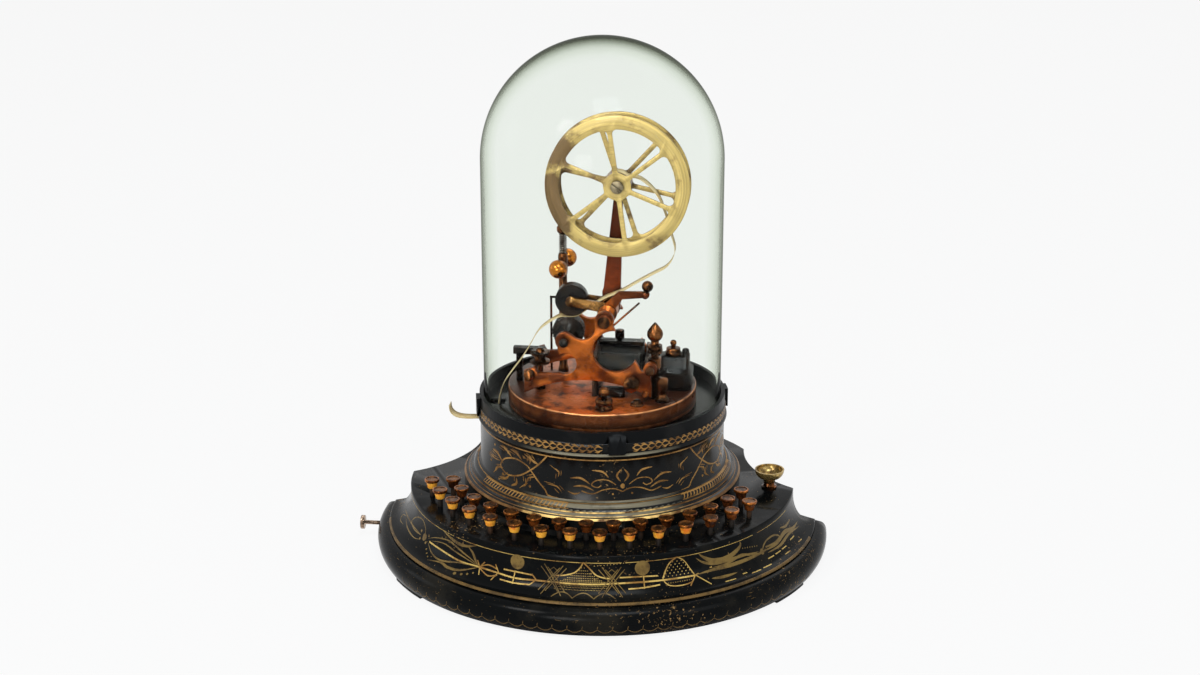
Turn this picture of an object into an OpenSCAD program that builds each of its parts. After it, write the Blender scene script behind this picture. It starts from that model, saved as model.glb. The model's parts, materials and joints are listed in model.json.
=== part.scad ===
// Stock ticker with a fan-shaped keyboard base, a drum, a glass dome and a tape-printing movement.
// Millimetres. The drum's axis is Z, the table is at z = 0 and the keyboard faces -Y.

/* [Base] */
// Distance of the deck's keyboard edge beyond the outer row of keys
deck_margin = 14; // [11:0.5:20]
// Distance of the deck's rear edge inside the radius of its keyboard edge
back_step = 20; // [16:0.5:26]
// Radius of each side scallop
scallop_r = 95; // [92:1:98]
// Distance of the scallops' centres beyond the radius of the deck's keyboard edge
scallop_reach = 52; // [50:0.5:56]
// Fore-and-aft place of the scallops' centres
scallop_y = 76; // [72:1:80]
// Height of the deck above the table
deck_z = 54.4; // [50:0.2:60]
// Thickness of the deck
deck_t = 6.4; // [4:0.2:8]
// Depth of the square lip round the deck
lip_h = 4.4; // [2:0.2:6]
// Reach of the cove beyond the deck edge
cove_out = 16; // [12:0.5:17]
// Height of the cove's foot above the table
cove_z = 25; // [23:0.5:28]
// Reach of the round lower moulding beyond the deck edge
torus_out = 27; // [24:0.5:30]
// Height of the round lower moulding's widest line
torus_z = 12; // [9:0.5:14]
// Thickness of the base's walls
base_wall = 6; // [4:0.5:8]
// Thickness of the bottom board
board_t = 5; // [3:0.5:7]
// Reach of the bottom board beyond the deck edge
board_out = 12; // [8:0.5:15]
// Height of the feet
foot_h = 2.5; // [1.5:0.25:5]
// Radius of the wire entry in the bottom board
entry_r = 9; // [5:0.5:14]

/* [Drum and dome] */
// Radius of the drum's wall
drum_r = 95.6; // [94:0.2:98]
// Height of the drum above the deck
drum_h = 66; // [60:0.2:72]
// Reach of the drum's plinth beyond its wall
plinth_out = 12.1; // [9:0.1:13]
// Height of the drum's plinth
plinth_h = 10.6; // [8:0.2:13]
// Thickness of the drum's wall and top
drum_wall = 6; // [4:0.5:8]
// Height of the dome's seat ring
ring_h = 8.6; // [7:0.2:14]
// Thickness of the dome's seat ring
ring_t = 3; // [2:0.25:3.5]
// Turn of the drum's front towards +X
drum_turn = 13.2; // [0:0.2:20]
// Width of each ring lug
lug_w = 12.5; // [8:0.5:18]
// Thickness of the glass
glass_t = 3; // [2:0.25:3.5]
// Height of the glass dome
dome_h = 283.6; // [280:0.2:300]

/* [Keys] */
// Distance of the inner row of keys from the drum's plinth
row_clear = 12.3; // [10:0.1:16]
// Distance between the two rows of keys
row_pitch = 16; // [14:0.5:20]
// Number of keys in each row
keys_per_row = 15; // [10:1:15]
// Radius of a key's head
head_r = 5.7; // [4.8:0.1:6.2]
// Height of a key's head
head_h = 2.2; // [1.6:0.1:3.4]
// Radius of the foot of a key's tapered cup
key_cup_r = 3.6; // [3:0.1:4.2]
// Height of a key's tapered cup under its head
key_cup_h = 5.2; // [3:0.1:6]
// Radius of a key's stem where it slides in the deck
stem_r = 2; // [1.8:0.1:2.6]
// Height of a key's top above the deck
key_rise = 14.2; // [12:0.2:16]
// Travel of a key
key_travel = 4; // [3:0.25:4.5]

/* [Movement] */
// Radius of the bedplate
bed_r = 72.6; // [71:0.2:73.4]
// Height of the bedplate
bed_h = 14.6; // [12:0.2:18]
// Thickness of the two frames
frame_t = 4; // [3:0.25:5]
// Fore-and-aft place of the front frame's middle
front_y = -39; // [-40:0.25:-38]
// Fore-and-aft place of the back frame's middle
back_y = 13; // [12:0.25:14]
// Radius of the cross tube at the frames' heads
tube_r = 5.2; // [4.6:0.1:5.6]
// Radius of the type shaft
shaft_r = 2.2; // [1.8:0.1:2.6]
// Radius of the type wheels over their type
type_r = 12.2; // [11.6:0.1:12.6]
// Number of type blocks round each wheel
type_count = 30; // [24:1:36]
// Width of the paper tape
tape_w = 10; // [8:0.2:10.4]
// Thickness of the paper tape's solid
tape_t = 0.3; // [0.2:0.05:0.4]
// Radius of the magnet coils
coil_r = 9.5; // [8:0.1:10]
// Length of the magnet coils
coil_l = 32; // [28:0.5:33]
// Radius of the governor's balls
ball_r = 7.2; // [6:0.1:7.6]
// Distance of the governor's balls from its spindle
ball_reach = 15.6; // [14:0.2:18]
// Turns of the governor's spring
spring_turns = 9; // [6:1:9]

/* [Reel] */
// Distance of the reel's edge inside the glass's inner radius
reel_margin = 34.25; // [32:0.25:36]
// Width of the reel's rim
reel_rim_w = 10.75; // [8:0.25:13]
// Thickness of each reel disc
reel_t = 1.3; // [1:0.1:1.6]
// Radius of the reel's hub
reel_hub_r = 10.5; // [9:0.25:12]
// Width of a reel spoke
spoke_w = 3.6; // [2.6:0.1:5]
// Height of the reel's axle above the bedplate
reel_rise = 161.5; // [158:0.5:164]

/* [Hidden] */
$fn = 96;
eps = 0.01;
fit = 0.06;
gap = 0.3;

plinth_r = drum_r + plinth_out;
inner_row_r = plinth_r + row_clear;
outer_row_r = inner_row_r + row_pitch;
deck_r = outer_row_r + deck_margin;
back_r = deck_r - back_step;
scallop_x = deck_r + scallop_reach;
base_z = foot_h;
board_top = base_z + board_t;
riser_r = 2 * entry_r;
deck_under = deck_z - deck_t;
cavity_r = deck_r - base_wall;
scallop_turn = atan2(scallop_y, scallop_x);
rear_y = back_r * sin(scallop_turn + 2);
cove_h = deck_z - lip_h - cove_z;
neck_out = cove_out + 2.4;
neck_z = cove_z - 2.6;

drum_top = deck_z + drum_h;
ring_r = drum_r - 0.6;
glass_r = ring_r - ring_t - 0.5;
glass_in = glass_r - glass_t;
bed_top = drum_top + bed_h;
drum_bead_z = drum_top - 9.6;
lug_drop = 7.6;
lug_t = 2;

// Movement axes, as [x, z] seen from the front
tube_at = [6.2, bed_top + 63];
type_at = [-24, bed_top + 45.8];
press_at = type_at + [2.4, 25];
reel_at = [13.4, bed_top + reel_rise];
reel_r = glass_in - reel_margin;
reel_rim_r = reel_r - reel_rim_w;
tape_y = -14;
gap_tape = 0.15;
press_r = norm(press_at - type_at) - type_r - tape_t - 2 * gap_tape;
reel_gap = tape_w + 0.8;
reel_half = reel_gap / 2 + reel_t;
post_t = 5;
post_y = tape_y + reel_half + 0.8;
front_out = front_y - frame_t / 2;
front_in = front_y + frame_t / 2;
back_in = back_y - frame_t / 2;
back_out = back_y + frame_t / 2;
column_at = [-32.9, 20.5];
column_top = bed_top + 79;
ball_z = column_top + 9;
spring_z = column_top + 17.4;
spring_h = 16;
spring_r = 2.7;
spring_wire_r = 0.5;
pin_r = 1.5;
coil_z = bed_top + 22;
coil_ys = [-24, -2];
pivot_at = [37.5, bed_top + 12.5];
pillar_right = [37.5, bed_top + 6];
pillar_left = [-51.5, bed_top + 11];
switch_at = fan(deck_r - 18.7, 88);
pull_y = -12;
pull_z = torus_z;
pull_r = 1.6;

KEYS = [for (i = [1 : 2 * keys_per_row]) str("key_", i < 10 ? "0" : "", i)];

// Points of an arc, as [x, y]
function arc(c, r, a0, a1, n) = oval(c, r, r, a0, a1, n);
// Points of an arc with unlike radii across and up
function oval(c, rx, ry, a0, a1, n) =
  [for (i = [0 : n]) let (a = a0 + (a1 - a0) * i / n) c + [rx * cos(a), ry * sin(a)]];
// Place on the deck at radius r and angle a from the front
function fan(r, a) = [r * sin(a), -r * cos(a)];

// Moulding of the base's edge from its foot up, as [reach beyond the deck edge, height]
base_edge = concat(
  oval([neck_out, torus_z], torus_out - neck_out, torus_z * 1.05, -48, 0, 6),
  oval([neck_out, torus_z], torus_out - neck_out, neck_z - torus_z, 8, 90, 8),
  [[neck_out - 0.8, neck_z], [neck_out - 0.8, neck_z + 0.8]],
  arc([cove_out, cove_z - 1.8], 1.8, 0, 90, 4),
  [for (i = [1 : 12]) let (a = 90 - 7.5 * i) [cove_out * (1 - cos(a)), deck_z - lip_h - cove_h * sin(a)]],
  [[0, deck_z - 0.6], [-0.6, deck_z]]);

// Base edge as a solid of revolution about the drum's axis, with radius r at the deck edge
module moulded_disc(r) {
  rotate([0, 0, 90]) rotate_extrude($fn = 180)
    polygon(concat(
      [[0, base_z], [r + base_edge[0][0], base_z]],
      [for (p = base_edge) [r + p[0], p[1]]],
      [[0, deck_z]]));
}

// Spool that cuts a scallop with the same moulding on it
module scallop_spool() {
  rotate_extrude($fn = 144)
    polygon(concat([[0, base_z - 1], [scallop_r - base_edge[0][0], base_z - 1]],
      [for (p = base_edge) [scallop_r - p[0], p[1]]],
      [[scallop_r + 0.6, deck_z + 1], [0, deck_z + 1]]));
}

// Everything behind the line where the rear edge takes over from the keyboard edge
module behind() {
  translate([-250, rear_y, -10]) cube([500, 250, 100]);
}

// Whole moulded outline: keyboard edge in front, smaller edge behind, a scallop at each side
module moulded_plan() {
  difference() {
    union() {
      difference() {
        moulded_disc(deck_r);
        behind();
      }
      moulded_disc(back_r);
    }
    for (s = [-1, 1]) translate([s * scallop_x, scallop_y, 0]) scallop_spool();
  }
}

// Plain block on the base's plan, out beyond the deck edge, between two heights
module plan_block(out, z0, z1) {
  difference() {
    union() {
      difference() {
        translate([0, 0, z0]) cylinder(h = z1 - z0, r = deck_r + out, $fn = 180);
        behind();
      }
      translate([0, 0, z0]) cylinder(h = z1 - z0, r = back_r + out, $fn = 180);
    }
    for (s = [-1, 1])
      translate([s * scallop_x, scallop_y, z0 - 1]) cylinder(h = z1 - z0 + 2, r = scallop_r - out, $fn = 144);
  }
}

// Angle of key i in its row, from the front towards +X
row_start = [-67.9, -66.5];
row_end = [61.1, 68.4];
function key_angle(row, i) = row_start[row] + (row_end[row] - row_start[row]) * i / (keys_per_row - 1);
function key_at(k) =
  let (row = k < keys_per_row ? 0 : 1, i = k - row * keys_per_row)
  fan(row == 0 ? outer_row_r : inner_row_r, key_angle(row, i));

// Round hole through the deck
module deck_hole(at, r) {
  translate([at[0], at[1], deck_under - 1]) cylinder(h = deck_t + 2, r = r, $fn = 48);
}

module base_body() {
  color("#16171b") difference() {
    moulded_plan();
    plan_block(-base_wall, base_z - 1, deck_under);
    plan_block(board_out, base_z - 1, board_top);
    for (k = [0 : 2 * keys_per_row - 1]) deck_hole(key_at(k), stem_r + fit);
    deck_hole(switch_at, knob_pin_r + fit);
    along_x(pull_y, pull_z, -deck_r - torus_out - 1, -cavity_r + 1, pull_r + fit);
    deck_hole([0, 0], riser_r);
  }
}

module bottom_board() {
  color("#2a211a") difference() {
    plan_block(board_out - gap, base_z, board_top);
    translate([0, 0, base_z - 1]) cylinder(h = board_t + 2, r = entry_r);
  }
}

// Feet stand under the round moulding, two at the keyboard's sides and two behind
foot_turns = [-52, 62, 148, -148];
foot_w = 8;
foot_angle = 13;
foot_inset = 11.5;
function foot_r(i) = (i < 2 ? deck_r : back_r) + torus_out - foot_inset;
module feet() {
  color("#1b1a19")
    for (i = [0 : 3])
      rotate([0, 0, foot_turns[i] - 90 - foot_angle / 2])
        rotate_extrude(angle = foot_angle, $fn = 180)
          translate([foot_r(i), 0]) square([foot_w, foot_h]);
}

// Contact arcs under the two rows of stems, on blocks that stand on the bottom board
tail_h = 8;
collar_h = 3;
stem_end = deck_under - gap - collar_h - tail_h;
strip_t = 1.5;
strip_w = 8;
strip_top = stem_end - key_travel - gap;
module contact_strips() {
  color("#b08d4a") {
    for (r = [inner_row_r, outer_row_r])
      rotate([0, 0, -90 - 72])
        rotate_extrude(angle = 144, $fn = 180)
          translate([r - strip_w / 2, strip_top - strip_t]) square([strip_w, strip_t]);
    for (a = [-66, -33, 0, 33, 66])
      rotate([0, 0, a - 90])
        translate([inner_row_r - strip_w / 2, -5, board_top])
          cube([outer_row_r - inner_row_r + strip_w, 10, strip_top - strip_t - board_top]);
  }
}

collar_r = stem_r + 1.4;
recess_r = head_r - 1.1;
key_top = deck_z + key_rise;
cup_foot = key_top - head_h - key_cup_h;
module key(k) {
  color("#c9801f") translate([key_at(k)[0], key_at(k)[1], 0])
    rotate_extrude($fn = 40)
      polygon([
        [0, stem_end], [1.6, stem_end], [1.6, stem_end + tail_h], [collar_r, stem_end + tail_h],
        [collar_r, stem_end + tail_h + collar_h], [stem_r, stem_end + tail_h + collar_h],
        [stem_r, cup_foot], [key_cup_r - 0.3, cup_foot], [key_cup_r, cup_foot + 0.4],
        [key_cup_r + 0.9, key_top - head_h],
        [head_r - 0.3, key_top - head_h], [head_r, key_top - head_h + 0.4],
        [head_r, key_top - 0.5], [head_r - 0.4, key_top], [recess_r, key_top],
        [recess_r - 0.2, key_top - 0.6], [0, key_top - 0.6]]);
}

// Drum wall from the plinth up, as [radius, height]
waist_r = drum_r - 0.9;
foot_top = deck_z + plinth_h + 8.4;
drum_wall_line = concat(
  [[plinth_r, deck_z], [plinth_r, deck_z + plinth_h - 1], [plinth_r - 1, deck_z + plinth_h]],
  oval([plinth_r - 1.2, deck_z + plinth_h + 4], 4.2, 4, -90, -180, 5),
  oval([waist_r + 2, deck_z + plinth_h + 4.4], 4, 4, 0, 90, 5),
  [[waist_r + 1.2, foot_top], [waist_r, foot_top + 1.4], [waist_r, drum_bead_z - 2.4]],
  arc([waist_r + 0.4, drum_bead_z], 1.6, -90, 90, 6),
  [[drum_r, drum_bead_z + 2.4], [drum_r, drum_top - 0.5], [drum_r - 0.5, drum_top]]);
slot_h = 3.4;
slot_z = drum_bead_z - 1.6 - slot_h;
slot_in = bed_r + 1.2;
slot_out = glass_in - 2.5;
foot_screw_r = 2.3;
module drum() {
  color("#15161a") difference() {
    rotate_extrude($fn = 180)
      polygon(concat([[waist_r - drum_wall, deck_z]], drum_wall_line,
        [[riser_r, drum_top], [riser_r, drum_top - drum_wall],
         [waist_r - drum_wall, drum_top - drum_wall]]));
    // Way out for the tape: down through the top and out through the wall
    translate([-slot_out, tape_y - tape_w / 2 - 1, slot_z])
      cube([slot_out - slot_in, tape_w + 2, drum_top - slot_z + 1]);
    translate([-drum_r - 3, tape_y - tape_w / 2 - 1, slot_z])
      cube([drum_r + 3 - slot_in, tape_w + 2, slot_h]);
    rotate([0, 0, drum_turn])
      stand_at([0, deck_z + plinth_h - 3.4], -plinth_r - 1, 8) circle(r = foot_screw_r, $fn = 24);
  }
}

module dome_ring() {
  color("#0d0e10") {
    rotate_extrude($fn = 180)
      translate([ring_r - ring_t, drum_top]) square([ring_t, ring_h]);
    lug_a = lug_w / ring_r * 180 / PI;
    for (k = [0 : 3])
      rotate([0, 0, drum_turn - 90 + 90 * k - lug_a / 2])
        rotate_extrude(angle = lug_a, $fn = 180)
          polygon([
            [ring_r - 0.2, drum_top], [drum_r + gap, drum_top], [drum_r + gap, drum_top - lug_drop],
            [drum_r + gap + lug_t, drum_top - lug_drop], [drum_r + gap + lug_t, drum_top + ring_h - 2],
            [ring_r - 0.2, drum_top + ring_h - 2]]);
  }
}

glass_straight = drum_top + dome_h - glass_r;
module glass_dome() {
  color("#cfe0d6", 0.35)
    rotate_extrude($fn = 144)
      polygon(concat(
        [[glass_in, drum_top], [glass_r, drum_top]],
        arc([0, glass_straight], glass_r, 0, 90, 24),
        arc([0, glass_straight], glass_in, 90, 0, 24)));
}

// Bedplate is a cast disc with a skirt, hollow underneath
module bedplate() {
  color("#a1542b") rotate_extrude($fn = 144)
    polygon([
      [0, bed_top - 5], [bed_r - 5, bed_top - 5], [bed_r - 5, drum_top], [bed_r, drum_top],
      [bed_r, bed_top - 0.8], [bed_r - 0.8, bed_top], [0, bed_top]]);
}

// Frame outline seen from the front, as [x, height above the bedplate]
foot_left = [-54.9, -45.3];
foot_right = [33.2, 41.6];
hub_r = tube_r + 2;
boss_r = 7;
// Round cuts, as [centre, radius]: right window, left window, notch over the type shaft, arch under the bar
frame_cuts = [[[14, 39], 16.5], [[-23.4, 28], 8.6], [[-10.8, 57], 10], [[-6.5, -88.5], 104]];
module frame_outline(extra_boss) {
  t = tube_at - [0, bed_top];
  b = type_at - [0, bed_top];
  difference() {
    union() {
      polygon([
        [foot_left[0], 0], [foot_left[1], 0], [foot_left[1] + 1.2, 7],
        [foot_right[0] - 1, 7], [foot_right[0], 0], [foot_right[1], 0],
        [foot_right[1] + 0.7, 12], [foot_right[1] - 1, 22.5], [foot_right[0] + 1, 24.3],
        t + [hub_r - 1, -4], t + [-hub_r + 0.6, -3], b + [boss_r - 1.5, 5.2],
        b + [-boss_r + 1.6, -5.4], b + [1, -24.8], [foot_left[1] + 0.5, 19.2],
        [foot_left[1] - 1.9, 23.4], [foot_left[0] + 0.2, 21]]);
      translate(t) circle(r = hub_r, $fn = 48);
      translate(b) circle(r = boss_r, $fn = 48);
      translate([extra_boss[0], extra_boss[1]]) circle(r = extra_boss[2], $fn = 48);
    }
    for (cut = frame_cuts) translate(cut[0]) circle(r = cut[1], $fn = 128);
    translate(t) circle(r = tube_r, $fn = 48);
    translate(b) circle(r = shaft_r + fit, $fn = 48);
    translate(pillar_right - [0, bed_top]) circle(r = pillar_r, $fn = 32);
    translate(pillar_left - [0, bed_top]) circle(r = pillar_r, $fn = 32);
  }
}

// Stands a front-view outline up between two depths
module stand(y0, y1, z = 0) {
  translate([0, y1, z]) rotate([90, 0, 0]) linear_extrude(height = y1 - y0) children();
}

// Turned pin, sleeve or disc along Y at a front-view place
module turned(at, y0, y1, r) {
  translate([at[0], y1, at[1]]) rotate([90, 0, 0]) cylinder(h = y1 - y0, r = r, $fn = 48);
}

// Round rod between two points
module rod(p, q, r) {
  d = q - p;
  translate(p) rotate([0, acos(d[2] / norm(d)), atan2(d[1], d[0])]) cylinder(h = norm(d), r = r, $fn = 24);
}

// Tapered bar between two front-view places
module bar_outline(p, q, wp, wq) {
  n = [-(q - p)[1], (q - p)[0]] / norm(q - p);
  polygon([p + n * wp / 2, p - n * wp / 2, q - n * wq / 2, q + n * wq / 2]);
}

pillar_r = 2.6;
module front_frame() {
  color("#a9572c") stand(front_out, front_in, bed_top) frame_outline([foot_right[1] - 0.6, 26, 5.2]);
}

back_boss = [26.5, 24.5, 5.4];
module back_frame() {
  color("#a9572c") stand(back_in, back_out, bed_top) frame_outline(back_boss);
}

plug_r = 4.4;
plug_t = 1.2;
tube_front = front_out - 4;
stop_low = [8.6, front_in + 0.75, bed_top + 54.5];
stop_high = [30.6, tape_y - 7.5, bed_top + 72];
wire_x = column_at[0] - 9.4;
wire_h = 60.5;
wire_top = bed_top + wire_h;
wire_r = 0.9;
column_r = 3.2;
module frame_pillars() {
  color("#9c5230") {
    difference() {
      turned(tube_at, tube_front, back_out + 2, tube_r);
      turned(tube_at, tube_front - 1, tube_front + plug_t, plug_r);
    }
    difference() {
      turned(tube_at, lever_front - 2.3, lever_front - gap, tube_r + 1.6);
      turned(tube_at, lever_front - 3, lever_front, tube_r);
    }
    turned(pillar_right, front_out - 0.8, back_out + 0.8, pillar_r);
    turned(pillar_left, front_out - 0.8, back_out + 0.8, pillar_r);
    rod(stop_low, stop_high, 0.8);
    difference() {
      translate([column_at[0], column_at[1], bed_top]) rotate_extrude($fn = 48)
        polygon([[0, 0], [4, 0], [4, 3], [column_r, 4.5], [column_r, column_top - bed_top - 1],
          [column_r - 0.6, column_top - bed_top], [0, column_top - bed_top]]);
      translate([column_at[0], column_at[1], column_top - 22]) cylinder(h = 23, r = pin_r + fit, $fn = 32);
    }
    translate([wire_x, column_at[1], bed_top]) cylinder(h = wire_top - bed_top, r = wire_r, $fn = 24);
    rod([wire_x - wire_r, column_at[1], wire_top], [column_at[0] - 2, column_at[1], wire_top], wire_r);
  }
}

// Post that carries the reel, clamped on the cross tube
post_foot_w = 13;
post_head_r = 6;
post_ring_r = tube_r + 3;
shoulder_h = 15;
axle_r = 3;
module reel_post() {
  color("#7b3520") difference() {
    union() {
      stand(post_y, post_y + post_t) {
        polygon([
          tube_at + [-5.5, 4], tube_at + [-5.5, shoulder_h - 2.5],
          tube_at + [2 - post_foot_w / 2, shoulder_h], reel_at + [-3, -2], reel_at + [3, -2],
          tube_at + [2 + post_foot_w / 2, shoulder_h], tube_at + [10, shoulder_h - 2.5],
          tube_at + [8.5, 4], tube_at + [5, 0]]);
      }
      turned(tube_at, post_y, post_y + post_t, post_ring_r);
      turned(reel_at, post_y - 0.5, post_y + post_t, post_head_r);
    }
    turned(tube_at, post_y - 1, post_y + post_t + 1, tube_r);
    turned(reel_at, post_y - 1, post_y + post_t + 1, axle_r);
  }
}

axle_head_r = 4.7;
reel_front = tape_y - reel_half;
module reel_axle() {
  color("#8b7a4e") difference() {
    union() {
      turned(reel_at, reel_front - gap - 2.2, reel_front - gap, axle_head_r);
      turned(reel_at, reel_front - gap - eps, post_y + post_t + 3.6, axle_r);
      stand_at(reel_at, post_y + post_t, 3) circle(r = 5.4, $fn = 6);
    }
    translate([reel_at[0], reel_front - gap - 2.2, reel_at[1]])
      rotate([0, 35, 0]) cube([12, 1.6, 1.1], center = true);
  }
}

module reel_hub() {
  color("#8e7a3c") difference() {
    turned(reel_at, tape_y - reel_gap / 2, tape_y + reel_gap / 2, reel_hub_r);
    turned(reel_at, tape_y - reel_gap, tape_y + reel_gap, axle_r + fit);
  }
}

// Outline of one window between two spokes, with round corners
rim_fillet = 3.4;
hub_fillet = 2.6;
function window() =
  let (ro = reel_rim_r - rim_fillet, ri = reel_hub_r + hub_fillet,
       ao = 30 - asin((spoke_w / 2 + rim_fillet) / ro), ai = 30 - asin((spoke_w / 2 + hub_fillet) / ri))
  concat(
    arc([0, 0], reel_rim_r, -ao, ao, 10),
    arc(ro * [cos(ao), sin(ao)], rim_fillet, ao + 10, 120, 5),
    arc(ri * [cos(ai), sin(ai)], hub_fillet, 120, 170 + ai, 4),
    arc([0, 0], reel_hub_r, ai, -ai, 3),
    arc(ri * [cos(ai), -sin(ai)], hub_fillet, 190 - ai, 240, 4),
    arc(ro * [cos(ao), -sin(ao)], rim_fillet, 240, 350 - ao, 5));

module reel_disc(y, turn) {
  translate([reel_at[0], y, reel_at[1]]) rotate([90, 0, 0]) linear_extrude(height = reel_t)
    difference() {
      circle(r = reel_r, $fn = 180);
      circle(r = axle_r + fit, $fn = 48);
      for (k = [0 : 5]) rotate(turn + 30 + 60 * k) polygon(window());
    }
}

module reel_discs() {
  color("#cdb562") {
    reel_disc(tape_y - reel_gap / 2, 38);
    reel_disc(tape_y + reel_gap / 2 + reel_t, 48);
  }
}

// Route of the tape, as [x, z]: off the reel's hub and out between its discs, over the guide, round the
// press roller, down past the bedplate and out through the drum
wrap_r = press_r + gap_tape + tape_t / 2;
contact_a = atan2(type_at[1] - press_at[1], type_at[0] - press_at[0]);
function from(at, steps) = [for (p = steps) at + p];
guide_line = [[8.9, 15.4], [-0.2, 11.6], [-7.8, 7]];
tape_route = concat(
  arc(reel_at, reel_hub_r + gap_tape + tape_t / 2, 96, 48, 4),
  from(reel_at, [[17.1, 5.5], [27.1, -3], [32.9, -12.5], [40.6, -37.5], [43.2, -49.5]]),
  from(tube_at, [[45.1, 37.6], [35.3, 31.4], [24, 24.8]]),
  from(tube_at, guide_line),
  arc(press_at, wrap_r, -54, contact_a, 6),
  from(type_at, [[-5.4, 12.1], [-12.2, 8.6], [-22.6, 0.2], [-30.2, -13.2], [-36.6, -23.8]]),
  from([-bed_r, bed_top], [[4.8, 12], [-2, 1.4], [-5.6, -11], [-7, -20]]),
  from([-drum_r, slot_z], [[11.4, 2.4], [2.6, 1.6], [-8.4, 1], [-16.4, 2], [-20.8, 5.6], [-21.8, 11]]));
// Smooth curve through the route, n steps to each stretch
function curve(p, n) = concat([for (i = [0 : len(p) - 2]) let (
    a = p[max(i - 1, 0)], b = p[i], c = p[i + 1], d = p[min(i + 2, len(p) - 1)],
    m = norm(c - b), u = (c - a) / max(norm(c - a), eps) * m, v = (d - b) / max(norm(d - b), eps) * m)
  for (k = [0 : n - 1]) let (t = k / n)
    (2 * t * t * t - 3 * t * t + 1) * b + (t * t * t - 2 * t * t + t) * u
    + (3 * t * t - 2 * t * t * t) * c + (t * t * t - t * t) * v], [p[len(p) - 1]]);
// Both sides of a line of points, half w away
function side(p, w) = [for (i = [0 : len(p) - 1]) let (
    d = p[min(i + 1, len(p) - 1)] - p[max(i - 1, 0)], n = [-d[1], d[0]] / norm(d)) p[i] + n * w];
function reversed(p) = [for (i = [len(p) - 1 : -1 : 0]) p[i]];
module paper_tape() {
  line = curve(tape_route, 3);
  color("#e9dcb4") stand(tape_y - tape_w / 2, tape_y + tape_w / 2)
    polygon(concat(side(line, tape_t / 2), reversed(side(line, -tape_t / 2))));
}

// Brass guide under the tape, held to the foot of the reel's post
guide_t = 1;
module tape_guide() {
  line = curve(from(tube_at, guide_line), 5);
  low = tape_t / 2 + gap_tape;
  color("#b98a3a") {
    stand(tape_y - tape_w / 2, tape_y + tape_w / 2)
      polygon(concat(side(line, low), reversed(side(line, low + guide_t))));
    stand(tape_y + tape_w / 2 - 1, post_y)
      polygon(from(tube_at, [[3, 10.2], [7.4, 12.2], [7.4, 13.9], [3, 12.1]]));
  }
}

// Type wheels, their shaft, the ratchet that steps them and the ball on the shaft's end
wheel_gap = 0.6;
wheel_w = (tape_w - wheel_gap) / 2;
type_h = 0.9;
shaft_ball_r = 3.6;
ratchet_r = 9;
ratchet_n = 24;
module block_wheel() {
  step = 360 / type_count;
  polygon([for (i = [0 : type_count - 1]) for (q = [[0, -type_h], [0.22, -type_h], [0.3, 0], [0.92, 0]])
    (type_r + q[1]) * [cos(step * (i + q[0])), sin(step * (i + q[0]))]]);
}
module type_wheels() {
  color("#2a2622") {
    for (s = [-1, 1])
      stand_at(type_at, tape_y + s * (wheel_w + wheel_gap) / 2 - wheel_w / 2, wheel_w) difference() {
        block_wheel();
        circle(r = shaft_r, $fn = 48);
      }
    turned(type_at, front_out - 1, back_out + 1.2, shaft_r);
    translate([type_at[0], front_out - shaft_ball_r - 0.2, type_at[1]]) sphere(r = shaft_ball_r, $fn = 48);
    difference() {
      union() {
        turned(type_at, tape_y - tape_w / 2 - 2.6, tape_y - tape_w / 2, 6);
        turned(type_at, tape_y + tape_w / 2, tape_y + tape_w / 2 + 6, 6);
      }
      turned(type_at, tape_y - tape_w, tape_y + 2 * tape_w, shaft_r);
    }
    stand_at(type_at, tape_y + tape_w / 2 + 6, 2.2) difference() {
      polygon([for (i = [0 : ratchet_n - 1]) for (q = [[0, 0], [0.08, -1.5]])
        (ratchet_r + q[1]) * [cos(360 / ratchet_n * (i + q[0])), sin(360 / ratchet_n * (i + q[0]))]]);
      circle(r = shaft_r, $fn = 48);
    }
    turned(type_at, back_out + gap, back_out + 2, 3.4);
  }
}

// Stands an outline up round a front-view place
module stand_at(at, y0, t) {
  translate([at[0], y0 + t, at[1]]) rotate([90, 0, 0]) linear_extrude(height = t) children();
}

press_pin_r = 1.8;
module press_roller() {
  color("#1a1513") difference() {
    translate([press_at[0], tape_y, press_at[1]]) rotate([90, 0, 0]) rotate_extrude($fn = 96)
      polygon([
        [press_pin_r + fit, -tape_w / 2 + 0.6], [3.6, -tape_w / 2 + 0.6], [3.6, -tape_w / 2 + 1.4],
        [press_r - 2.4, -tape_w / 2 + 1.4], [press_r - 1.8, -tape_w / 2], [press_r - 0.4, -tape_w / 2],
        [press_r, -tape_w / 2 + 0.5], [press_r, tape_w / 2 - 0.5], [press_r - 0.4, tape_w / 2],
        [press_pin_r + fit, tape_w / 2]]);
  }
}

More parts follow.
